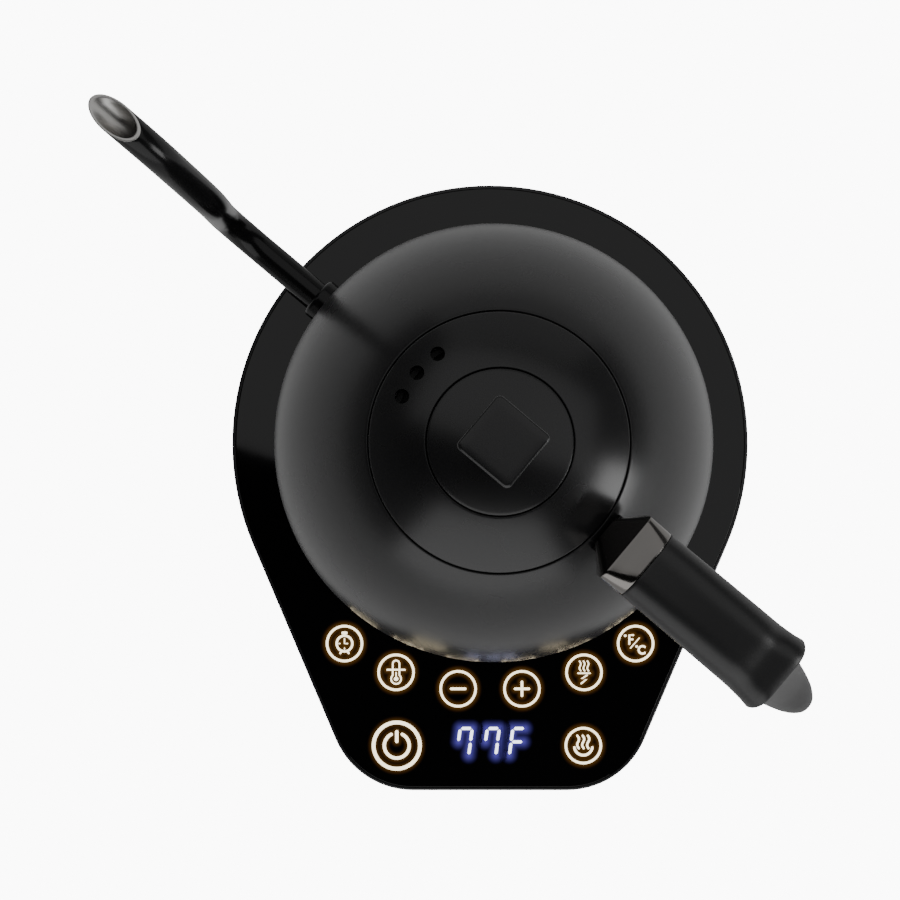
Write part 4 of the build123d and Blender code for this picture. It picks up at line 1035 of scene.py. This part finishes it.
CAPSULE = arc(0, 2.85, 1.1, 0, 180, 14) + arc(0, -2.2, 1.65, 131.8, 408.2, 28)
ICONS = {
    "timer": [(circle(0, 0, 2.6), 0.7, True), ([(-0.5, 3.5), (0.5, 3.5)], 1.0),
              ([(1.05, -2.75), (1.4, -3.2)], 0.6), ([(-1.05, -2.75), (-1.4, -3.2)], 0.6),
              ([(0, 1.6), (0, 0), (1.0, 0)], 0.4), ([(-1.9, 0), (-1.5, 0)], 0.35), ([(0, -1.5), (0, -1.9)], 0.35)],
    "thermometer": [(CAPSULE, 0.5, True), ([(-2.9, 0.85), (2.9, 0.85)], 0.55), ([(0, -0.1), (0, -1.4)], 0.45),
                    ([(-0.1, -2.2), (0.1, -2.2)], 1.3)],
    "minus": [([(-2.3, 0), (2.3, 0)], 0.85)],
    "plus": [([(-2.3, 0), (2.3, 0)], 0.8), ([(0, -2.3), (0, 2.3)], 0.8)],
    "quick_boil": [(wave(x, x - 0.4, 0.5, 3.7, 0.32), 0.45) for x in (-1.1, 0.2, 1.5)]
                  + [([(-2.0, -0.3), (2.0, -0.3)], 0.45),
                     ([(1.0, -0.95), (-0.8, -2.15), (0.8, -2.3), (-0.9, -3.7)], 0.5)],
    "units": [([(-2.1, -0.1), (-2.1, 2.8), (-0.8, 2.8)], 0.6), ([(-2.1, 1.4), (-1.0, 1.4)], 0.55),
              ([(-1.7, -1.5), (1.2, 1.8)], 0.35), ([(-3.5, 2.6), (-3.4, 2.6)], 0.75),
              ([(0.3, -0.95), (0.4, -0.95)], 0.75), (arc(2.25, -2.1, 1.25, 50, 310, 20), 0.62)],
    "warm": [(wave(low, high, -0.9, 3.3, 0.42), 0.68) for low, high in ((-1.5, -2.0), (0.1, -0.2), (1.7, 1.5))]
            + [(arc(0, -0.2, 3.0, 188, 352, 28), 0.8)],
    "power": [(arc(0, 0, 4.15, 116, 424, 48), 1.05), ([(0, 1.4), (0, 4.6)], 1.1)],
}
ARC_R = 0.0823
ARC_ANGLES = {"timer": -36.0, "thermometer": -22.3, "minus": -7.4, "plus": 7.4, "quick_boil": 22.3, "units": 36.0}
LOWER_Y = -0.1005
LOWER_X = 0.031
places = {name: (ARC_R * cos(radians(a - 90)), ARC_R * sin(radians(a - 90))) for name, a in ARC_ANGLES.items()}
places["warm"] = (LOWER_X, LOWER_Y)
places["power"] = (-LOWER_X, LOWER_Y)
for name, strokes in ICONS.items():
    mesh = print_strokes(f"icon_{name}", strokes, places[name], GLASS_TOP + ICON_LIFT, warm_glow)
    add_piece(f"icon_{name}", mesh, "power_base")


# %% Ring tree
def build_ring():
    """A ring with a flat section, set at a given place."""
    sizes = [("Across", "Float", 0.0), ("Along", "Float", 0.0), ("Ring radius", "Float", 0.0058),
             ("Stroke", "Float", 0.0011), ("Level", "Float", 0.022), ("Finish", "Material", None)]
    tree, given, result = geometry_tree("icon_ring", sizes)
    line = node(tree, "GeometryNodeCurvePrimitiveCircle", Resolution=72)
    tree.links.new(given.outputs["Ring radius"], line.inputs["Radius"])
    section = node(tree, "GeometryNodeCurvePrimitiveQuadrilateral", Height=INK)
    tree.links.new(given.outputs["Stroke"], section.inputs["Width"])
    swept = node(tree, "GeometryNodeCurveToMesh")
    tree.links.new(line.outputs["Curve"], swept.inputs["Curve"])
    tree.links.new(section.outputs["Curve"], swept.inputs["Profile Curve"])
    place = node(tree, "ShaderNodeCombineXYZ")
    for label, axis in (("Across", "X"), ("Along", "Y"), ("Level", "Z")):
        tree.links.new(given.outputs[label], place.inputs[axis])
    moved = node(tree, "GeometryNodeTransform")
    tree.links.new(swept.outputs[0], moved.inputs["Geometry"])
    tree.links.new(place.outputs[0], moved.inputs["Translation"])
    real = node(tree, "GeometryNodeRealizeInstances")
    tree.links.new(moved.outputs[0], real.inputs[0])
    painted = node(tree, "GeometryNodeSetMaterial")
    tree.links.new(real.outputs[0], painted.inputs["Geometry"])
    tree.links.new(given.outputs["Finish"], painted.inputs["Material"])
    tree.links.new(painted.outputs[0], result.inputs["Geometry"])
    return tree


ICON_RING = build_ring()
RING_R = 0.00580
RING_STROKE = 0.00078
POWER_RING_R = 0.00770
POWER_STROKE = 0.00120
for name, (x, y) in places.items():
    radius, width = (POWER_RING_R, POWER_STROKE) if name == "power" else (RING_R, RING_STROKE)
    mesh = grown(f"ring_{name}", ICON_RING, {"Across": x, "Along": y, "Ring radius": radius, "Stroke": width,
                                             "Level": GLASS_TOP + RING_LIFT, "Finish": warm_glow})
    add_piece(f"ring_{name}", mesh, "power_base")

# %% Halos
HALO_REACH = 0.0024
DIGIT_HALO_REACH = 0.0034


def halo_field(name, samples, reach, material, level, cell=0.0004):
    """A flat sheet whose glow is 1 on the given points and falls to 0 at the reach."""
    samples = np.asarray(samples)
    low = samples.min(0) - reach
    count = np.ceil((samples.max(0) + reach - low) / cell).astype(int) + 1
    xs = low[0] + np.arange(count[0]) * cell
    ys = low[1] + np.arange(count[1]) * cell
    grid = np.stack(np.meshgrid(xs, ys, indexing="ij"), -1).reshape(-1, 2)
    far = np.min(np.hypot(grid[:, None, 0] - samples[None, :, 0], grid[:, None, 1] - samples[None, :, 1]), axis=1)
    glow = np.clip(1 - far / reach, 0, 1)
    faces = []
    for i in range(count[0] - 1):
        for j in range(count[1] - 1):
            corners = (i * count[1] + j, (i + 1) * count[1] + j, (i + 1) * count[1] + j + 1, i * count[1] + j + 1)
            if max(glow[list(corners)]) > 0:
                faces.append(tuple(int(c) for c in corners))
    mesh = bpy.data.meshes.new(name)
    mesh.from_pydata([(x, y, level) for x, y in grid], [], faces)
    fade = mesh.attributes.new("glow", "FLOAT", "POINT")
    fade.data.foreach_set("value", glow)
    work = bmesh.new()
    work.from_mesh(mesh)
    bmesh.ops.delete(work, geom=[v for v in work.verts if not v.link_faces], context="VERTS")
    work.to_mesh(mesh)
    work.free()
    mesh.materials.append(material)
    return add_piece(name, mesh, "power_base")


def along_lines(lines, step=0.3):
    """Evenly spaced points on lines of points, in millimetres."""
    out = []
    for line in lines:
        for start, stop in zip(line, line[1:]):
            pieces = max(1, int(hypot(stop[0] - start[0], stop[1] - start[1]) / step))
            out += [(start[0] + (stop[0] - start[0]) * k / pieces, start[1] + (stop[1] - start[1]) * k / pieces)
                    for k in range(pieces + 1)]
    return np.array(out)


for name, (x, y) in places.items():
    radius = POWER_RING_R if name == "power" else RING_R
    points = np.vstack([along_lines([item[0] for item in ICONS[name]]), np.array(circle(0, 0, radius / MM, 96))])
    halo_field(f"halo_{name}", points * MM + (x, y), HALO_REACH, warm_halo, GLASS_TOP + HALO_LIFT)

# %% [markdown]
# The display shows two digits and a degree letter in seven-segment bars, slanted a little as such displays are.
# Each bar is a bevelled strip, and a blue halo sits under each character.

# %% Display digits
BAR_W = 1.0
DIGIT_W = 4.0
DIGIT_H = 8.9
SLANT = tan(radians(7.5))
SEGMENTS = {
    "top": ((0.5, 1.0), (-0.5, 1.0)), "middle": ((0.5, 0.5), (-0.5, 0.5)), "bottom": ((0.5, 0.0), (-0.5, 0.0)),
    "upper_left": ((-0.5, 1.0), (-0.5, 0.5)), "upper_right": ((0.5, 1.0), (0.5, 0.5)),
    "lower_left": ((-0.5, 0.5), (-0.5, 0.0)), "lower_right": ((0.5, 0.5), (0.5, 0.0)),
}
SEVEN = ("top", "upper_left", "upper_right", "lower_right")
LETTER = ("top", "upper_left", "middle", "lower_left")


def bar(start, stop, width):
    """A strip with pointed ends, shortened so that neighbours don't touch."""
    start, stop = Vector(start), Vector(stop)
    along = (stop - start).normalized()
    side = Vector((-along.y, along.x)) * width / 2
    start, stop = start + along * width * 0.30, stop - along * width * 0.30
    return [start, start + along * width * 0.4 + side, stop - along * width * 0.4 + side, stop,
            stop - along * width * 0.4 - side, start + along * width * 0.4 - side]


def digit_mesh(name, centre, lit):
    work = bmesh.new()
    for segment in lit:
        ends = [((px * DIGIT_W), (py - 0.5) * DIGIT_H) for px, py in SEGMENTS[segment]]
        shape = bar(*ends, BAR_W)
        points = [((p.x + p.y * SLANT) * MM + centre[0], p.y * MM + centre[1]) for p in shape]
        low = [work.verts.new((x, y, GLASS_TOP + ICON_LIFT)) for x, y in points]
        high = [work.verts.new((x, y, GLASS_TOP + ICON_LIFT + INK)) for x, y in points]
        work.faces.new(high)
        work.faces.new(low[::-1])
        for i in range(len(shape)):
            j = (i + 1) % len(shape)
            work.faces.new((low[i], low[j], high[j], high[i]))
    bmesh.ops.recalc_face_normals(work, faces=work.faces)
    mesh = bpy.data.meshes.new(name)
    work.to_mesh(mesh)
    work.free()
    mesh.materials.append(cool_glow)
    return mesh


DISPLAY_Y = -0.09925
DIGIT_PLACES = (-0.0085, 0.0005, 0.0090)
for x, (name, lit) in zip(DIGIT_PLACES, (("tens", SEVEN), ("ones", SEVEN), ("unit", LETTER))):
    add_piece(f"digit_{name}", digit_mesh(f"digit_{name}", (x, DISPLAY_Y), lit), "power_base")
    ends = [[(px * DIGIT_W, (py - 0.5) * DIGIT_H) for px, py in SEGMENTS[segment]] for segment in lit]
    points = along_lines([[(px + py * SLANT, py) for px, py in line] for line in ends])
    halo_field(f"halo_{name}", points * MM + (x, DISPLAY_Y), DIGIT_HALO_REACH, cool_halo,
               GLASS_TOP + DIGIT_HALO_LIFT)
